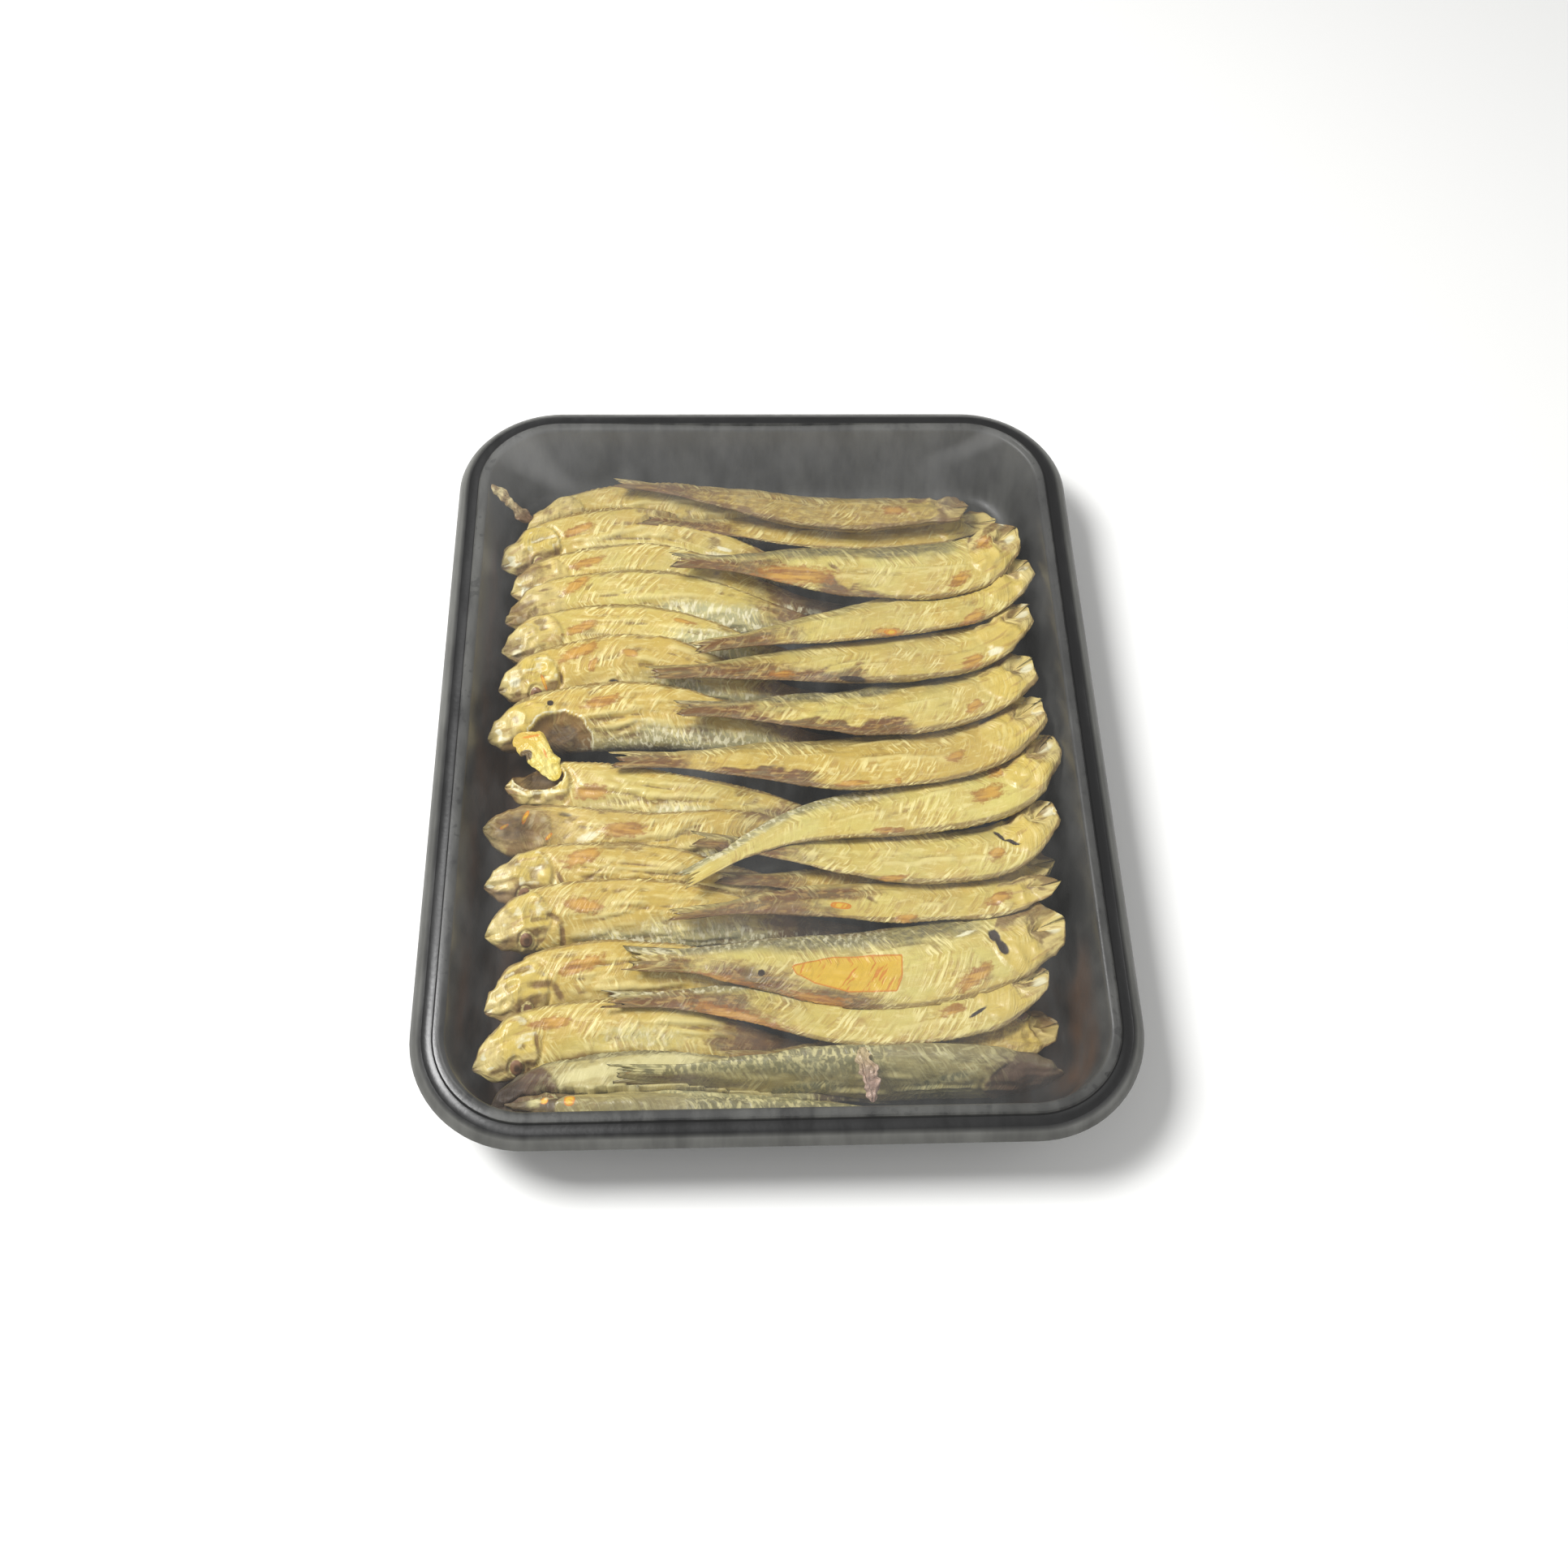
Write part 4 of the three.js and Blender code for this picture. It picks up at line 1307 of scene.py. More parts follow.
@dataclass(frozen=True)
class SmokedSkin:
    """The oily smoked skin of the fish, coloured by the masks that each fish carries."""

    name: str
    pale: Colour
    deep: Colour
    back: Colour
    tail: Colour
    roughness: float = 0.4

    # the skin's own yellow-brown streaks and flecks, and the painted shade in its wrinkle troughs
    amber_and_crease_shade: Colour = srgb(168, 128, 66)
    stain: Colour = srgb(150, 92, 26)
    orange: Colour = srgb(220, 180, 52)
    ember: Colour = srgb(206, 118, 4)
    dark: Colour = srgb(48, 33, 18)
    # dark brown, for the fish's own darker patches and for painted shade
    murk: Colour = srgb(110, 75, 30)
    fin: Colour = srgb(204, 150, 56)
    ball: Colour = srgb(136, 98, 66)
    plate: Colour = srgb(212, 186, 90)
    cheek: Colour = srgb(217, 196, 124)
    silver: Colour = srgb(184, 182, 138)
    # the colour of the painted shade in hollows and along edges
    painted_shade: Colour = srgb(114, 82, 38)
    # pale colour of the painted highlights on ridges and wrinkles, and of the eye's pale ring
    cream_and_highlight: Colour = srgb(238, 224, 152)
    glint: Colour = srgb(240, 234, 196)

    def build(self, groups: Groups) -> bpy.types.Material:
        """Lays the skin's colours over each other and gives it its oil and its wrinkles.

        Args:
            groups: the shared effects.

        Returns:
            The finish.
        """
        finish, shader = new_finish(self.name)
        sheet = SkinSheet(finish.node_tree, groups)
        silvered = sheet.ragged("silver", 0.8, 0.3)
        colour = self.flank(sheet, silvered)
        colour = self.parts(sheet, colour)
        colour = sheet.coat(
            colour,
            # painted highlights on the skin, and painted sparkle on the silver scales
            (self.painted_sheen(sheet), self.cream_and_highlight),
            (sheet.times(silvered, sheet.step(sheet.scales, 0.48, 0.62, 0.0, 0.85)), self.glint),
        )
        colour = self.marks(sheet, colour)
        dull = sheet.most(sheet.masks["murk"], sheet.masks["dark"])
        rough = sheet.step(sheet.cloud, 0.3, 0.7, self.roughness - 0.1, self.roughness + 0.1)
        sheet.feed(shader, {
            "Base Color": colour,
            "Roughness": sheet.math("ADD", rough, sheet.times(dull, 0.3), clamp=True),
            "Coat Weight": sheet.step(dull, 0.2, 0.6, 0.22, 0.02),
            "Coat Roughness": 0.18,
            "Normal": self.relief(sheet),
        })
        return finish

    def flank(self, sheet: SkinSheet, silvered: Any) -> Any:
        """The golden or grey skin, with yellow-brown streaks and flecks, the same colour painted into its
        wrinkle troughs as shade, and silvery scales.
        """
        cloudy = sheet.times(sheet.step(sheet.cloud, 0.3, 0.7), 0.5)
        tone = sheet.math("ADD", sheet.masks["gold"], cloudy, clamp=True)
        creases = sheet.step(sheet.wrinkles, 0.47, 0.36, 0.0, 0.45)
        return sheet.coat(
            sheet.mix(sheet.math("SUBTRACT", tone, 0.2, clamp=True), self.pale, self.deep),
            (sheet.step(sheet.flow, 0.46, 0.3, 0.0, 0.25), self.amber_and_crease_shade),
            # painted shade in the wrinkle troughs
            (sheet.times(creases, sheet.wrinkled), self.amber_and_crease_shade),
            (sheet.times(sheet.step(sheet.fleck, 0.42, 0.3, 0.0, 0.3), sheet.wrinkled), self.amber_and_crease_shade),
            (sheet.times(silvered, sheet.step(sheet.scales, 0.62, 0.4, 0.45, 0.95)), self.silver),
        )

    def parts(self, sheet: SkinSheet, colour: Any) -> Any:
        """The flank's colour with the head, back and tail laid over it, then the darker patches, which also
        carry painted shade, and painted shade in hollows and along edges.
        """
        head = sheet.mix(sheet.masks["plate"], self.cheek, self.plate)
        head = sheet.mix(sheet.step(sheet.flow, 0.46, 0.36, 0.0, 0.6), head, self.amber_and_crease_shade)
        tail = sheet.mix(sheet.step(sheet.flow, 0.42, 0.6, 0.0, 0.5), self.tail, self.back)
        tail = sheet.mix(sheet.step(sheet.fleck, 0.5, 0.64, 0.0, 0.6), tail, self.amber_and_crease_shade)
        return sheet.coat(
            colour,
            (sheet.times(sheet.masks["head"], 0.9), head),
            (sheet.times(sheet.masks["grey"], sheet.step(sheet.grain, 0.25, 0.7, 1.1, 0.7)), self.back),
            (sheet.times(sheet.ragged("brown", 0.9, 0.4), 0.96), tail),
            # the fish's own darker patches, and painted shade
            (sheet.times(sheet.ragged("murk", 0.9, 0.35), 0.85), self.murk),
            # painted shade in hollows and along edges
            (sheet.times(sheet.ragged("painted_shade", 0.9, 0.4), 0.7), self.painted_shade),
        )

    def painted_sheen(self, sheet: SkinSheet) -> Any:
        """Painted highlights on oily ridges, wrinkles, streaks and flecks: less on the back, on stains and on
        the head.
        """
        masks = sheet.masks
        unlit = sheet.most(masks["brown"], masks["murk"], sheet.times(masks["grey"], 0.6))
        lit = sheet.step(sheet.math("SUBTRACT", 1.0, unlit, clamp=True), 0.0, 1.0, 0.2, 1.0)
        painted_sheen = sheet.most(
            sheet.times(sheet.step(sheet.wrinkles, 0.52, 0.6), sheet.wrinkled),
            sheet.step(sheet.hairs, 0.56, 0.66, 0.0, 0.35),
            sheet.step(sheet.fleck, 0.54, 0.66, 0.0, 0.55),
        )
        painted_sheen = sheet.most(
            sheet.times(painted_sheen, sheet.step(sheet.cloud, 0.35, 0.6, 0.35, 1.0)),
            sheet.step(sheet.flow, 0.55, 0.72, 0.0, 0.4),
            # painted highlight on the ridges of the relief
            sheet.times(sheet.ragged("ridge_highlight", 1.4, 0.5), 0.5),
        )
        return sheet.times(painted_sheen, sheet.times(lit, sheet.step(masks["head"], 0.0, 1.0, 1.0, 0.4)))

    def marks(self, sheet: SkinSheet, colour: Any) -> Any:
        """The colour with the fins, the stains, the pale bones with their painted glints, and the eye laid
        over it.
        """
        fin, orange, eye = (sheet.masks[name] for name in ("fin", "orange", "eye"))
        fins = sheet.mix(sheet.step(sheet.flow, 0.36, 0.54), self.stain, self.fin)
        fins = sheet.mix(sheet.step(fin, 0.85, 0.5, 0.0, 0.8), fins, self.stain)
        lined = sheet.most(
            sheet.step(orange, 0.52, 0.84, 1.0, 0.0), sheet.step(sheet.wrinkles, 0.46, 0.38, 0.0, 0.8))
        freckles = sheet.times(sheet.step(sheet.pepper, 0.64, 0.72), sheet.step(sheet.cloud, 0.45, 0.65))
        clean = sheet.step(sheet.masks["murk"], 0.4, 0.75, 0.9, 0.15)
        ring = sheet.times(sheet.step(eye, 0.33, 0.4), sheet.step(eye, 0.53, 0.47))
        return sheet.coat(
            colour,
            (sheet.times(sheet.ragged("fin", 1.6, 0.2), 0.8), fins),
            (sheet.ragged("orange", 0.16, 0.05), sheet.mix(lined, self.orange, self.ember)),
            (sheet.times(freckles, 0.5), self.stain),
            # pale bone and painted glints
            (sheet.times(sheet.ragged("bare", 0.9, 0.25), clean), self.glint),
            (sheet.step(eye, 0.46, 0.54), self.ball),
            (sheet.step(eye, 0.7, 0.85, 0.0, 0.6), self.dark),
            (sheet.times(ring, sheet.step(sheet.grain, 0.4, 0.58, 0.0, 0.8)), self.cream_and_highlight),
            (sheet.ragged("dark", 0.2, 0.14), self.dark),
        )

    @staticmethod
    def relief(sheet: SkinSheet) -> Any:
        """The fine wrinkles and grain of the skin."""
        height = sheet.times(sheet.wrinkles, sheet.step(sheet.wrinkled, 0.0, 1.0, 0.15, 1.0))
        shares = ((sheet.hairs, 0.2), (sheet.fleck, 0.15), (sheet.grain, 0.25), (sheet.flow, 0.25))
        for pattern, share in shares:
            height = sheet.math("ADD", height, sheet.times(pattern, share))
        return sheet.bump(height, 0.9, 0.0004)


@dataclass(frozen=True)
class FlakeFinish:
    """Torn skin or flesh, glossy and unevenly coloured."""

    name: str
    light: Colour
    deep: Colour
    root: Colour
    orange: Colour = srgb(222, 138, 52)
    dark: Colour = srgb(84, 62, 46)

    def build(self) -> bpy.types.Material:
        """Mixes the flake's colours, from its root to its tip, with a wet bump."""
        finish, shader = new_finish(self.name)
        sheet = Sheet(finish.node_tree)
        spot = sheet.coordinates("Object")
        orange, dark, root, _ = sheet.split("marks")
        cloud = sheet.noise(spot, 260.0, 3.0, 0.6)
        colour = sheet.coat(
            sheet.mix(sheet.step(cloud, 0.38, 0.62), self.light, self.deep),
            (sheet.step(root, 0.3, 0.9), self.root),
            (sheet.step(orange, 0.35, 0.6, 0.0, 0.85), self.orange),
            (sheet.step(dark, 0.4, 0.6, 0.0, 0.9), self.dark),
        )
        sheet.feed(shader, {
            "Base Color": colour,
            "Roughness": sheet.step(cloud, 0.3, 0.7, 0.2, 0.4),
            "Normal": sheet.bump(sheet.noise(spot, 600.0, 3.0, 0.6), 0.7, 0.0009),
        })
        return finish


@dataclass(frozen=True)
class TrayPlastic:
    """Dark drawn plastic: bare and darkest in its groove, lighter grey on its lip as a painted reflection
    with scuffs.
    """

    name: str = "tray_plastic"
    dark: Colour = srgb(38, 38, 37)
    light: Colour = srgb(76, 76, 72)
    bare: Colour = srgb(30, 30, 30)
    # the lip's lighter grey: painted reflection, with scuffs
    scuff_and_reflection: Colour = srgb(104, 104, 100)
    nick: Colour = srgb(16, 16, 16)
    juice: Colour = srgb(86, 60, 38)

    def build(self, groups: Groups) -> bpy.types.Material:
        """Mixes the smears, the lip's painted reflection with its scuffs, the juice and the dark nicks in the
        corners.

        Args:
            groups: the shared effects.

        Returns:
            The finish.
        """
        finish, shader = new_finish(self.name)
        sheet = Sheet(finish.node_tree)
        spot = sheet.coordinates("Object")
        groove, lip, corner, inner = sheet.split("rim")
        drawn_out = sheet.stretch(spot, (60.0, 18.0, 14.0), 0.4)
        smears = sheet.use(groups.smears, Vector=drawn_out, Scale=5.0, Contrast=0.6)
        scuffs = sheet.noise(sheet.stretch(spot, (160.0, 40.0, 60.0), 0.2), 1.0, 3.0, 0.6)
        specks = sheet.step(sheet.noise(spot, 420.0, 1.0), 0.63, 0.66)
        wet = sheet.times(self.wet(sheet, spot), sheet.step(scuffs, 0.3, 0.6, 0.2, 1.0))
        colour = sheet.coat(
            sheet.mix(sheet.step(smears, 0.3, 0.75), self.dark, self.light),
            # painted reflection on the lip, broken by scuffs
            (sheet.times(lip, sheet.step(scuffs, 0.3, 0.7, 0.55, 1.0)), self.scuff_and_reflection),
            (groove, self.bare),
            (sheet.times(wet, inner), self.juice),
            (sheet.times(specks, corner), self.nick),
        )
        sheet.feed(shader, {
            "Base Color": colour,
            "Roughness": sheet.step(smears, 0.3, 0.7, 0.3, 0.48),
            "Normal": sheet.bump(sheet.noise(spot, 900.0), 0.15, 0.0002),
        })
        return finish

    @staticmethod
    def wet(sheet: Sheet, spot: Any) -> Any:
        """Where juice stands: low in the well along its left side and in its front right corner."""
        across, along, up = sheet.axes(spot)
        left = sheet.times(sheet.step(across, -0.055, -0.062), sheet.step(along, 0.085, 0.07))
        right = sheet.times(sheet.step(across, 0.055, 0.065), sheet.step(along, -0.05, -0.07))
        return sheet.times(sheet.most(left, right), sheet.step(up, 0.021, 0.012))


@dataclass(frozen=True)
class FilmFinish:
    """Clear film that veils what lies under it, with painted highlights along the crests of its creases and
    painted light over the back and right walls.
    """

    name: str = "clear_film"
    veil: Colour = srgb(160, 160, 158)
    thin: float = 0.03
    thick: float = 0.08
    # how much painted highlight the crease crests get
    crease: float = 0.1
    # painted light over the back and right walls
    painted_wall_light: float = 0.07

    def build(self, groups: Groups) -> bpy.types.Material:
        """Mixes the film's veil, the painted highlights on its crease crests and the painted light over the
        back and right walls.

        Args:
            groups: the shared effects.

        Returns:
            The finish.
        """
        finish, shader = new_finish(self.name)
        sheet = Sheet(finish.node_tree)
        spot = sheet.coordinates("Object")
        across, along, _ = sheet.axes(spot)
        crest_highlight, *_ = sheet.split("creases")
        drawn_out = sheet.stretch(spot, (26.0, 12.0, 10.0), 0.6)
        smears = sheet.use(groups.smears, Vector=drawn_out, Scale=4.0, Contrast=0.5)
        veil = sheet.step(smears, 0.3, 0.75, self.thin, self.thick)
        # painted highlights along the crease crests
        veil = sheet.math("ADD", veil, sheet.times(crest_highlight, self.crease), clamp=True)
        # painted light over the back and right walls
        far = sheet.step(along, 0.06, 0.1, 0.0, self.painted_wall_light)
        right = sheet.step(across, 0.07, 0.085, 0.0, self.painted_wall_light * 0.6)
        sheet.feed(shader, {
            "Base Color": self.veil,
            "Alpha": sheet.math("ADD", veil, sheet.most(far, right), clamp=True),
            "Roughness": 0.2,
            "Normal": sheet.bump(smears, 0.4, 0.0004),
        })
        return finish


# ---------------------------------------------------------------- the studio


@dataclass
class Studio:
    """A pale floor, soft light and the camera."""

    camera_at: tuple[float, float, float] = (-14.137 * MM, -221.241 * MM, 384.711 * MM)
    yaw: float = math.radians(-4.76)
    elevation: float = math.radians(60.385)
    roll: float = math.radians(3.557)
    lens: float = 36.335
    air: float = 0.34
    floor_size: float = 6.0
    floor_colour: Colour = srgb(248, 248, 246)
    floor_roughness: float = 0.7
    sensor: float = 36.0
    nearest: float = 10 * MM

    def build(self) -> None:
        """Sets the floor, the lights and the camera."""
        self.floor()
        self.light("key_light", (-0.5, 0.1, 0.82), size=0.35, power=10.6)
        self.light("fill_light", (0.7, -0.4, 0.7), size=0.9, power=2.5)
        world = bpy.data.worlds.new("studio_air")
        world.use_nodes = True
        background = world.node_tree.nodes["Background"]
        Sheet(world.node_tree).feed(background, {"Color": (1.0, 1.0, 1.0, 1.0), "Strength": self.air})
        bpy.context.scene.world = world
        bpy.context.scene.view_settings.view_transform = "Standard"
        self.camera()

    def floor(self) -> None:
        """Lays the plain floor."""
        deselect()
        bpy.ops.mesh.primitive_plane_add(size=self.floor_size)
        floor = bpy.context.object
        floor.name = "studio_floor"
        finish, shader = new_finish("studio_floor")
        look = {"Base Color": self.floor_colour, "Roughness": self.floor_roughness}
        Sheet(finish.node_tree).feed(shader, look)
        floor.data.materials.append(finish)
        floor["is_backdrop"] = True

    @staticmethod
    def light(name: str, at: tuple[float, float, float], size: float, power: float) -> None:
        """Hangs one soft light that faces the tray."""
        lamp = bpy.data.lights.new(name, "AREA")
        lamp.size = size
        lamp.energy = power
        holder = bpy.data.objects.new(name, lamp)
        holder.location = at
        holder.rotation_euler = (-Vector(at)).to_track_quat("-Z", "Y").to_euler()
        bpy.context.collection.objects.link(holder)

    def camera(self) -> None:
        """Sets the camera over the near edge of the tray, rolled a little."""
        out = Vector((
            math.sin(self.yaw) * math.cos(self.elevation),
            -math.cos(self.yaw) * math.cos(self.elevation),
            math.sin(self.elevation),
        ))
        right = (-out).cross(Vector((0, 0, 1))).normalized()
        up = right.cross(-out)
        sideways = right * math.cos(self.roll) + up * math.sin(self.roll)
        upright = up * math.cos(self.roll) - right * math.sin(self.roll)
        body = bpy.data.cameras.new("camera")
        body.lens = self.lens
        body.sensor_width = self.sensor
        body.clip_start = self.nearest
        holder = bpy.data.objects.new("camera", body)
        turn = Matrix((sideways, upright, out)).transposed().to_4x4()
        holder.matrix_world = Matrix.Translation(self.camera_at) @ turn
        bpy.context.collection.objects.link(holder)
        bpy.context.scene.camera = holder


# ---------------------------------------------------------------- the catch


def drawn(**stains: list[tuple[float, ...]]) -> list[Mark]:
    """Dots and strokes, in millimetres.

    Args:
        stains: for each stain its dots, as x, y and radius, and its strokes, as x and y of both ends and
            half the width. A last number more is how deep it goes.

    Returns:
        The marks.
    """
    marks = []
    for stain, places in stains.items():
        for spot in places:
            is_stroke = len(spot) > 4
            ends, rest = (spot[:4], spot[4:]) if is_stroke else (spot[:2] * 2, spot[2:])
            marks.append(Mark(Stain[stain.upper()], ends[:2], ends[2:], *rest))
    return marks


SCRAPS = [
    Scrap("gill_cover", [(-69, 4, 15.5), (-63.5, -1.5, 17), (-57.5, -10, 15)], 4.4, 0.6, "skin_golden", 3,
          drawn(spot=[(-65.8, -3.4, 1.7)],
                orange=[(-67, 2.4, -62.5, 2.8, 0.5), (-61.5, -1, -60, -4.5, 0.4, 0.7)])),
    Scrap("flesh_scrap", [(20.4, -87, 17), (20, -92, 19), (22.3, -101, 16.5)], 2.4, 0.8, "flesh_pink", 4,
          torn=0.7),
    Scrap("corner_scrap", [(-68, 79, 13), (-75.5, 82.5, 19), (-79.5, 84.5, 24)], 2.0, 0.7, "skin_brown", 5,
          torn=0.6),
]

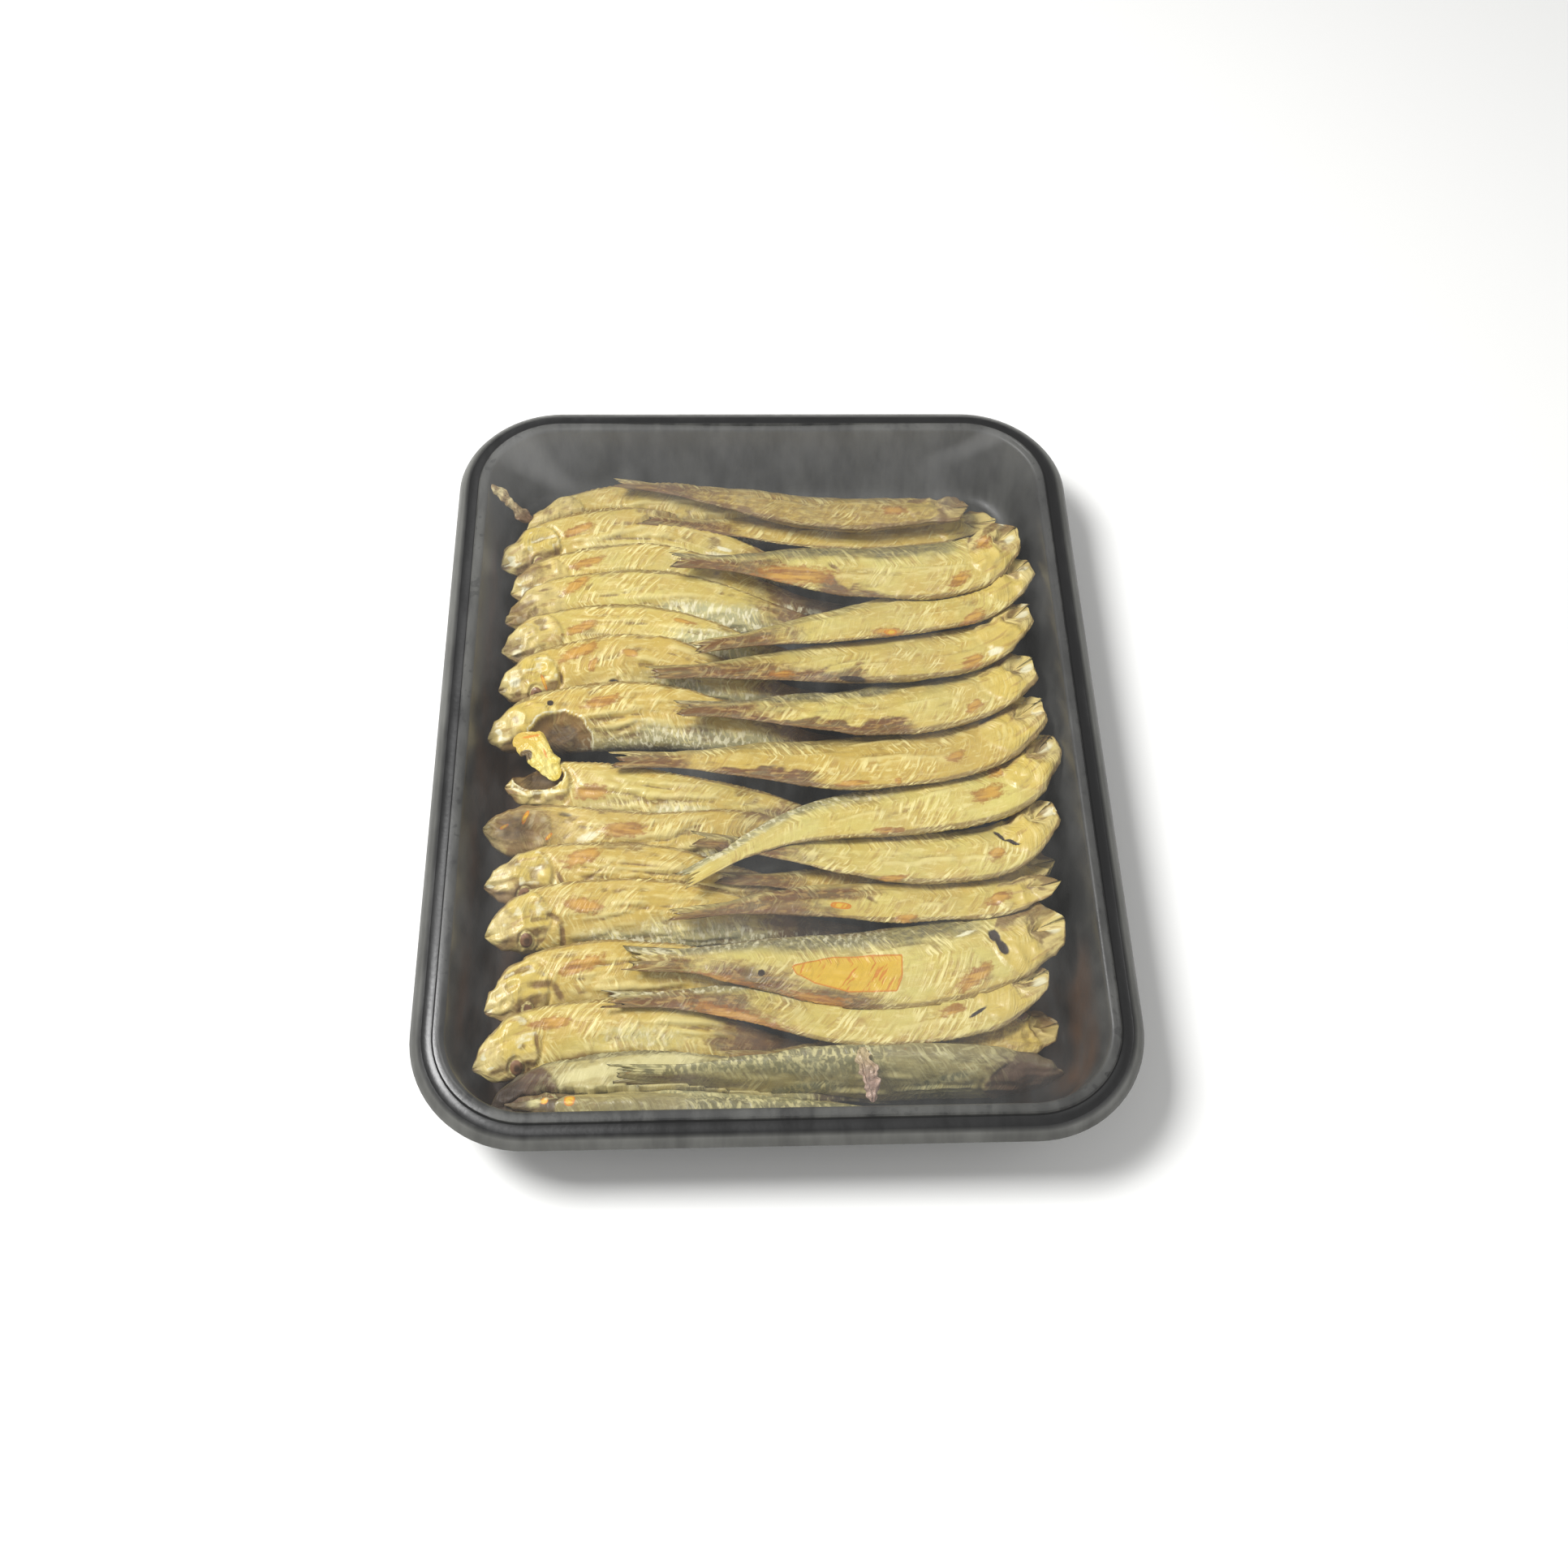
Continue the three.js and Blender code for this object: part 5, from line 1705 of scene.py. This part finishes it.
SPRATS = [
    Sprat("fish_r03", 74.5, -28, [71.5, 61, 60, 61, 61], depth=18.5, tilt=10, lift=1.5, gold=0.25, back=1.1,
          brown_from=0.7, hem=(0.44, 0.62),
          marks=drawn(fin=[(-2, 57.3, 20, 56.6, 2.8), (53, 52, 59, 56.5, 1.7), (64, 67, 2.6, 0.9)],
                      brown=[(25, 52, 34, 50.5, 0.8)], slit=[(18.5, 61, 21, 59, 0.7)],
                      bare=[(70.5, 66.5, 73, 70.5, 1.3)])),
    Sprat("fish_r01", 60, -45, [80, 80.5, 81.5, 86.5, 89.5], depth=15.5, tilt=28, lift=2, gold=0.7, back=0.5,
          murk=0.5, jaws=1.2, marks=drawn(fin=[(34, 79, 43, 79, 2.2, 0.8)])),
    Sprat("fish_r02", 69, -38, [79, 78.5, 78.5, 79, 80], depth=15, thickness=7, tilt=20, lift=-3.5, gold=0.7,
          back=0.3),
    Sprat("fish_r04", 77.5, -22, [61, 50, 45, 38.5, 31], gold=0.4,
          marks=drawn(fin=[(55.5, 38, 62, 43.5, 1.6), (30, 37.5, 39, 37, 1.2)],
                      orange=[(33, 37, 37, 37.2, 0.8, 0.9)], bare=[(73, 57, 76, 60, 1.4)])),
    Sprat("fish_r05", 76, -34.5, [45, 33, 30, 26.5, 23], gold=0.45, brown_from=0.66, hem=(0.42, 1),
          marks=drawn(brown=[(-12, 20.5, 28.5, 20.7, 1.2)], spot=[(19.5, 21.7, 27, 21.2, 0.6)],
                      fin=[(54.5, 24.2, 60.5, 27.5, 1.7), (0, 23, 8, 23.5, 1.3, 0.8)],
                      bare=[(62, 28, 66, 29.5, 1.1, 0.9), (72, 40.5, 74.5, 44, 1.4)])),
    Sprat("fish_r06", 75, -26.5, [26.5, 18, 13.3, 12.1, 11.3], depth=20.5, gold=0.4, back=1.35, sheen=0.35,
          hem=(0.34, 1),
          marks=drawn(brown=[(-14, 4.5, 14.4, 1.3, 1.8), (14.4, 1.3, 34, 2.4, 1.1)],
                      fin=[(54.5, 9, 58.5, 12.5, 1.5)], bare=[(71, 22, 74, 25.5, 1.4)])),
    Sprat("fish_r07", 76, -44, [12.5, 1, -3.9, -3.6, -5], depth=20.5, gold=1.1, back=0.75, brown_from=0.84,
          hem=(0.5, 0.8),
          marks=drawn(fin=[(17.3, -12.7, 26, -12.2, 0.8), (47, -6, 53, -3.5, 2, 0.8), (34, -12, 0.9)],
                      bare=[(73, 8, 75.5, 12, 1.5)])),
    Sprat("fish_r08", 77.5, -24.5, [0.7, -13.2, -18.1, -24.2, -41.5], depth=19, gold=0.2, back=0.95,
          brown_from=1.1, sheen=0.6,
          marks=drawn(fin=[(26.8, -26.9, 34.4, -26.4, 0.8), (53.5, -18, 62, -15, 2.2), (61, -9, 2.4, 0.85)],
                      bare=[(73, -4, 76.5, 0, 1.6)])),
    Sprat("fish_r09", 75, -22, [-20, -31.3, -32.6, -31, -29], gold=0.25, back=0.6, brown_from=0.72,
          marks=drawn(fin=[(26.8, -40.8, 34.9, -40.1, 0.7), (56.5, -36, 60.5, -33, 1.7)],
                      dark=[(58.6, -26.2, 61, -30.2, 0.5), (60.6, -29.8, 65, -32, 0.5)],
                      bare=[(73.6, -21.8, 1.7)])),
    Sprat("fish_r10", 74, -28, [-43, -45.8, -45.6, -46.4, -51], depth=12.5, thickness=6.5, gold=0.45,
          back=0.3, brown_from=0.6,
          marks=drawn(brown=[(-4, -45, 26, -43.2, 2.2)], slit=[(23.5, -44.5, 26.7, -47, 0.6, 0.8)],
                      orange=[(14, -47.6, 20, -48.3, 1.1, 0.9)],
                      fin=[(55, -48, 61, -45.5, 1.5), (31, -51.5, 36.5, -51, 0.8)])),
    Sprat("fish_r11", 74, -39, [-54.5, -60, -64.5, -63.2, -62.5], depth=21.5, thickness=9.5, tilt=12,
          gold=0.25, back=1.35, brown_from=0.86, sheen=0.5,
          marks=[Patch(Stain.ORANGE, ((3.5, -64.6), (14, -61.8), (32, -61.8), (31.6, -68), (30, -71.9),
                                      (17.8, -71.9), (9.5, -69.6), (4.8, -67)), 1.8)]
          + drawn(brown=[(-18, -66, 5, -71.2, 4), (3, -72.5, 26, -75.4, 3)],
                  fin=[(-22, -67, -6, -70.5, 2, 0.85), (0, -72, 18, -75, 1.7, 0.8),
                       (45.6, -71.9, 54.4, -65.5, 1.9)],
                  spot=[(-4, -66.6, 0.9)],
                  dark=[(54.8, -55.6, 56.6, -59.6, 1.2), (56.2, -58.6, 58.4, -63, 1.2)],
                  bare=[(69.5, -56.5, 73, -54.6, 1.5), (46, -57.5, 51, -55.8, 0.5)])),
    Sprat("fish_r12", 68, -44, [-68.6, -75.6, -77.6, -73.6, -73.5], depth=17, gold=0.3, back=0.7,
          brown_from=0.66, sheen=0.55,
          marks=drawn(brown=[(-32, -71, 0, -82.4, 4)],
                      fin=[(-22, -74.5, 2, -82.5, 2.2, 0.85), (40, -79, 46.5, -76, 1.8, 0.8)],
                      spot=[(47, -80, 52, -77, 0.5, 0.9)], bare=[(64, -71.5, 67.5, -69.5, 1.3)])),
    Sprat("fish_b01", 69, -42, [-95, -93, -91.5, -92, -92.5], depth=16, tilt=-65, lift=-1, grey=True,
          gold=0.3, sheen=0.75, jaws=0.0, gape=0.0,
          marks=drawn(silver=[(32.4, -95.6, 47, -93.8, 0.6), (27, -96.8, 44, -96.5, 0.6),
                              (-8, -96.2, 15.4, -94.6, 0.8)],
                      murk=[(51, -96, 69, -95, 6)])),
    Sprat("fish_b02", -66, 45, [-99, -99.5, -99.5, -99.5, -99.5], depth=15, tilt=-75, lift=-0.5, grey=True,
          gold=0.6,
          marks=drawn(silver=[(-30.5, -95.4, -17, -96.9, 1.4), (-8, -98, 12, -97.4, 0.8)],
                      bare=[(-59, -99.6, 1.7)], orange=[(-56.6, -99.4, 1), (-50.5, -99.8, 1.3)])),
    Sprat("fish_r13", 70, -14, [-81, -83, -85, -87, -88], depth=16, lift=-4, gold=0.8, back=0.5, murk=0.45,
          eye=1, marks=drawn(bare=[(49, -87, 1.6, 0.8)])),
    Sprat("fish_r14", 74.5, -16, [-34.5, -36, -38, -38, -38], depth=14, thickness=7, lift=-5, gold=0.8,
          murk=0.35),
    Sprat("fish_l14", -70, 28, [-99, -96.5, -94, -94, -94], grey=True, gold=0.3, murk=0.15, eye=0, dome=0.0,
          marks=drawn(murk=[(-76, -98, -54, -97, 8)], dark=[(-76, -98, -57, -96, 8, 0.56)],
                      bare=[(-54, -93.6, -34, -89, 1.6), (-36, -89, -19, -88.4, 2)])),
    Sprat("fish_l13", -75, 25, [-88.5, -82.5, -81, -84, -87], gold=0.5, eye=0.9, brown_from=0.6,
          marks=drawn(fin=[(-61, -79.6, -51, -78.2, 1.4)], slit=[(-59.8, -81, -59, -86, 0.5)],
                      silver=[(-47, -81.5, -22, -82.5, 3.5, 0.5)], murk=[(-56, -89, -40, -87, 2.2)])),
    Sprat("fish_l12", -73, 25, [-74, -67, -64.5, -67, -68], gold=1.1,
          marks=drawn(fin=[(-55, -65.6, -43.5, -61.5, 1.6)],
                      slit=[(-62, -68.7, -56, -68, 0.9), (-56, -68, -53.6, -72.2, 0.8),
                            (-42.5, -70.4, -39, -70.2, 0.7)])),
    Sprat("fish_l11", -74, 24, [-53.5, -49, -47, -48.5, -52], gold=0.8, brown_from=0.7, eye=0.9,
          marks=drawn(fin=[(-53.6, -46.2, -44.5, -47.6, 1.8)],
                      slit=[(-58.6, -49, -54.9, -50.6, 0.7), (-54.7, -50.8, -54.2, -58.5, 0.7)],
                      silver=[(-48, -55, -22, -57, 2.6)])),
    Sprat("fish_l10", -75, 27, [-39.5, -37, -37.5, -41, -42], gold=1.3, murk=0.14, eye=0.7, brown_from=0.68,
          marks=drawn(fin=[(-54.7, -35, -45, -31.4, 1.9)], spot=[(-32.4, -39, 0.6)],
                      slit=[(-56.6, -36.4, -54.4, -41.5, 0.6), (-53, -41.6, -42, -34.6, 0.4, 0.75),
                            (-42, -34.6, -28.5, -36, 0.4, 0.75)])),
    Sprat("fish_l09", -76, 26, [-22.5, -24.5, -27.5, -22.5, -26], gold=1.1, murk=0.15, eye=0, dome=0.0,
          marks=drawn(fin=[(-44.5, -25.2, -33.9, -24.8, 2)], murk=[(-76, -24, -57, -24.5, 6.5, 0.95)],
                      dark=[(-76, -24, -60, -25, 7, 0.5), (-58, -20, -52, -21, 1.2, 0.56)],
                      bare=[(-71.5, -25.5, 1.1, 0.7), (-67.5, -20.8, 1.3, 0.6), (-62, -27.5, 1.2, 0.7),
                            (-60.5, -22, 1, 0.7), (-52, -27.8, -45, -25.8, 1.2, 0.7),
                            (-64.2, -24.5, -63, -20, 0.6)],
                      orange=[(-66, -23.5, -64.5, -19, 0.6, 0.9), (-72, -24.5, -69.5, -23, 0.6, 0.8),
                              (-60, -27.5, -58, -25.5, 0.5, 0.8)])),
    Sprat("fish_l08", -71, 28, [-10, -10.5, -13.8, -16, -21], depth=16, gold=0.5, eye=0,
          marks=drawn(fin=[(-52.7, -13, -43.5, -13.3, 1.8)], brown=[(-23.3, -19.6, -15.2, -18.2, 1)],
                      bare=[(-68, -5.5, -69.6, -11.7, 0.4, 0.9), (-69.6, -11.7, -65.6, -13.6, 0.4, 0.9),
                            (-65.6, -13.6, -53.8, -12.4, 0.5, 0.7)]),
          hollow=((-62.5, -8.8, 15), (6.6, 3.8, 4))),
    Sprat("fish_l07", -77, 26, [5, 10.5, 14, 9.5, 6], gold=1.2, back=0.8, eye=0, murk=0.16,
          marks=drawn(fin=[(-51, 13.7, -41.3, 16.5, 1.5)], spot=[(-60.3, 14.3, 0.9)],
                      silver=[(-48.2, 3, -5, 3, 3.4)]),
          hollow=((-57.4, 4.6, 15.5), (8, 7, 4.6))),
    Sprat("fish_l06", -75, 22, [21, 25.5, 30, 24, 20.5], gold=1.2, eye=1,
          marks=drawn(fin=[(-58.4, 28.6, -47.9, 33.9, 1.8), (-50, 26, -48, 29.5, 1),
                           (-41, 31.8, -36.5, 31.2, 1.2)],
                      spot=[(-43.3, 22.5, 1.7)], slit=[(-57.8, 25, -57.4, 21.6, 0.45)],
                      bare=[(-70.5, 21.6, 1.4)],
                      orange=[(-29.5, 19.9, -26, 19.5, 0.5), (-63.5, 24.5, -61.5, 19.5, 0.5, 0.8)])),
    Sprat("fish_l05", -75, 27, [34, 38.5, 39.4, 34.5, 30], gold=0.5, dome=0.6,
          marks=drawn(murk=[(-77, 32, -68, 35, 3, 0.65)],
                      fin=[(-56.9, 38.2, -48.2, 42, 1.3), (-27.2, 43.4, -20.8, 42.2, 0.7)],
                      silver=[(-28, 36.5, -4, 36, 4)], bare=[(-70.4, 31.5, 1.3)])),
    Sprat("fish_l04", -74.5, 27, [44, 49.5, 52.5, 49.5, 44], gold=0.3, dome=0.3, eye=0,
          marks=drawn(murk=[(-76, 43, -64, 45, 5, 0.7)], fin=[(-58.1, 51.3, -51.2, 57.5, 1.5)])
          + [Patch(Stain.SILVER, ((-40, 46), (-26, 51), (-2, 50), (-1, 43), (-20, 40)), 5)]),
    Sprat("fish_l03", -73.5, 25, [54, 58.5, 62, 56.5, 52], gold=0.5, dome=0.4,
          marks=drawn(murk=[(-76, 58, -62, 60, 3, 0.65)], fin=[(-56.2, 61.1, -46.9, 64.4, 1.4)],
                      bare=[(-69, 52.6, 1.5), (-65.2, 54, 1.3)], slit=[(-67, 50.4, -63.6, 51.4, 0.45)])),
    Sprat("fish_l02", -77, 28, [63.5, 71.5, 75, 67.5, 62], gold=0.55, eye=0.8,
          marks=drawn(fin=[(-58.9, 73.1, -50.2, 76.8, 1.3), (-33.3, 78.2, -26.1, 80, 0.7)],
                      slit=[(-61.3, 70, -59.8, 64.4, 0.8)],
                      bare=[(-15.5, 69.1, 4, 64.4, 0.9), (-14, 71, -10, 70, 0.6)])),
    Sprat("fish_l01", -70, 32, [77, 81.5, 85, 83, 81], gold=0.5, murk=0.2, dome=0.3, eye=0),
]

GOLDEN = SmokedSkin("golden_skin", pale=srgb(212, 198, 112), deep=srgb(196, 162, 70), back=srgb(112, 104, 72),
                    tail=srgb(106, 64, 28))
GREY = SmokedSkin("grey_skin", pale=srgb(182, 170, 112), deep=srgb(178, 158, 92), back=srgb(142, 134, 88),
                  tail=srgb(98, 80, 56), plate=srgb(116, 88, 56), cheek=srgb(104, 76, 50),
                  murk=srgb(80, 56, 42), amber_and_crease_shade=srgb(118, 106, 66), painted_shade=srgb(100, 90, 60),
                  cream_and_highlight=srgb(204, 196, 142), silver=srgb(138, 138, 102), glint=srgb(214, 204, 146))
FLAKES = {
    "skin_golden": FlakeFinish(
        "torn_gill_cover", light=srgb(220, 196, 84), deep=srgb(236, 220, 130), root=srgb(214, 182, 84)),
    "flesh_pink": FlakeFinish(
        "torn_flesh", light=srgb(196, 166, 146), deep=srgb(156, 126, 110), root=srgb(196, 176, 132)),
    "skin_brown": FlakeFinish(
        "torn_skin", light=srgb(244, 226, 168), deep=srgb(160, 130, 80), root=srgb(116, 86, 56)),
}


def main() -> None:
    """Builds the pack: the tray, the heap of fish from the top down, and the film."""
    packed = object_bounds()
    Studio().build()
    groups = Groups()
    tray = Tray()
    hand_in(tray.build(), "tray", "tray_black", TrayPlastic().build(groups))
    hand_in(LidFilm(tray).build(), "lid_film", "film_clear", FilmFinish().build(groups))
    heap = Heap(tray)
    for scrap in SCRAPS:
        scrap.build(heap, FLAKES[scrap.slot].build())
    golden, grey = GOLDEN.build(groups), GREY.build(groups)
    for sprat in SPRATS:
        sprat.build(heap, grey if sprat.grey else golden)
    boxes = {"packed": packed, "shown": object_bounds()}
    {name: [list(corner) for corner in box] for name, box in boxes.items()}


if __name__ == "__main__":
    main()
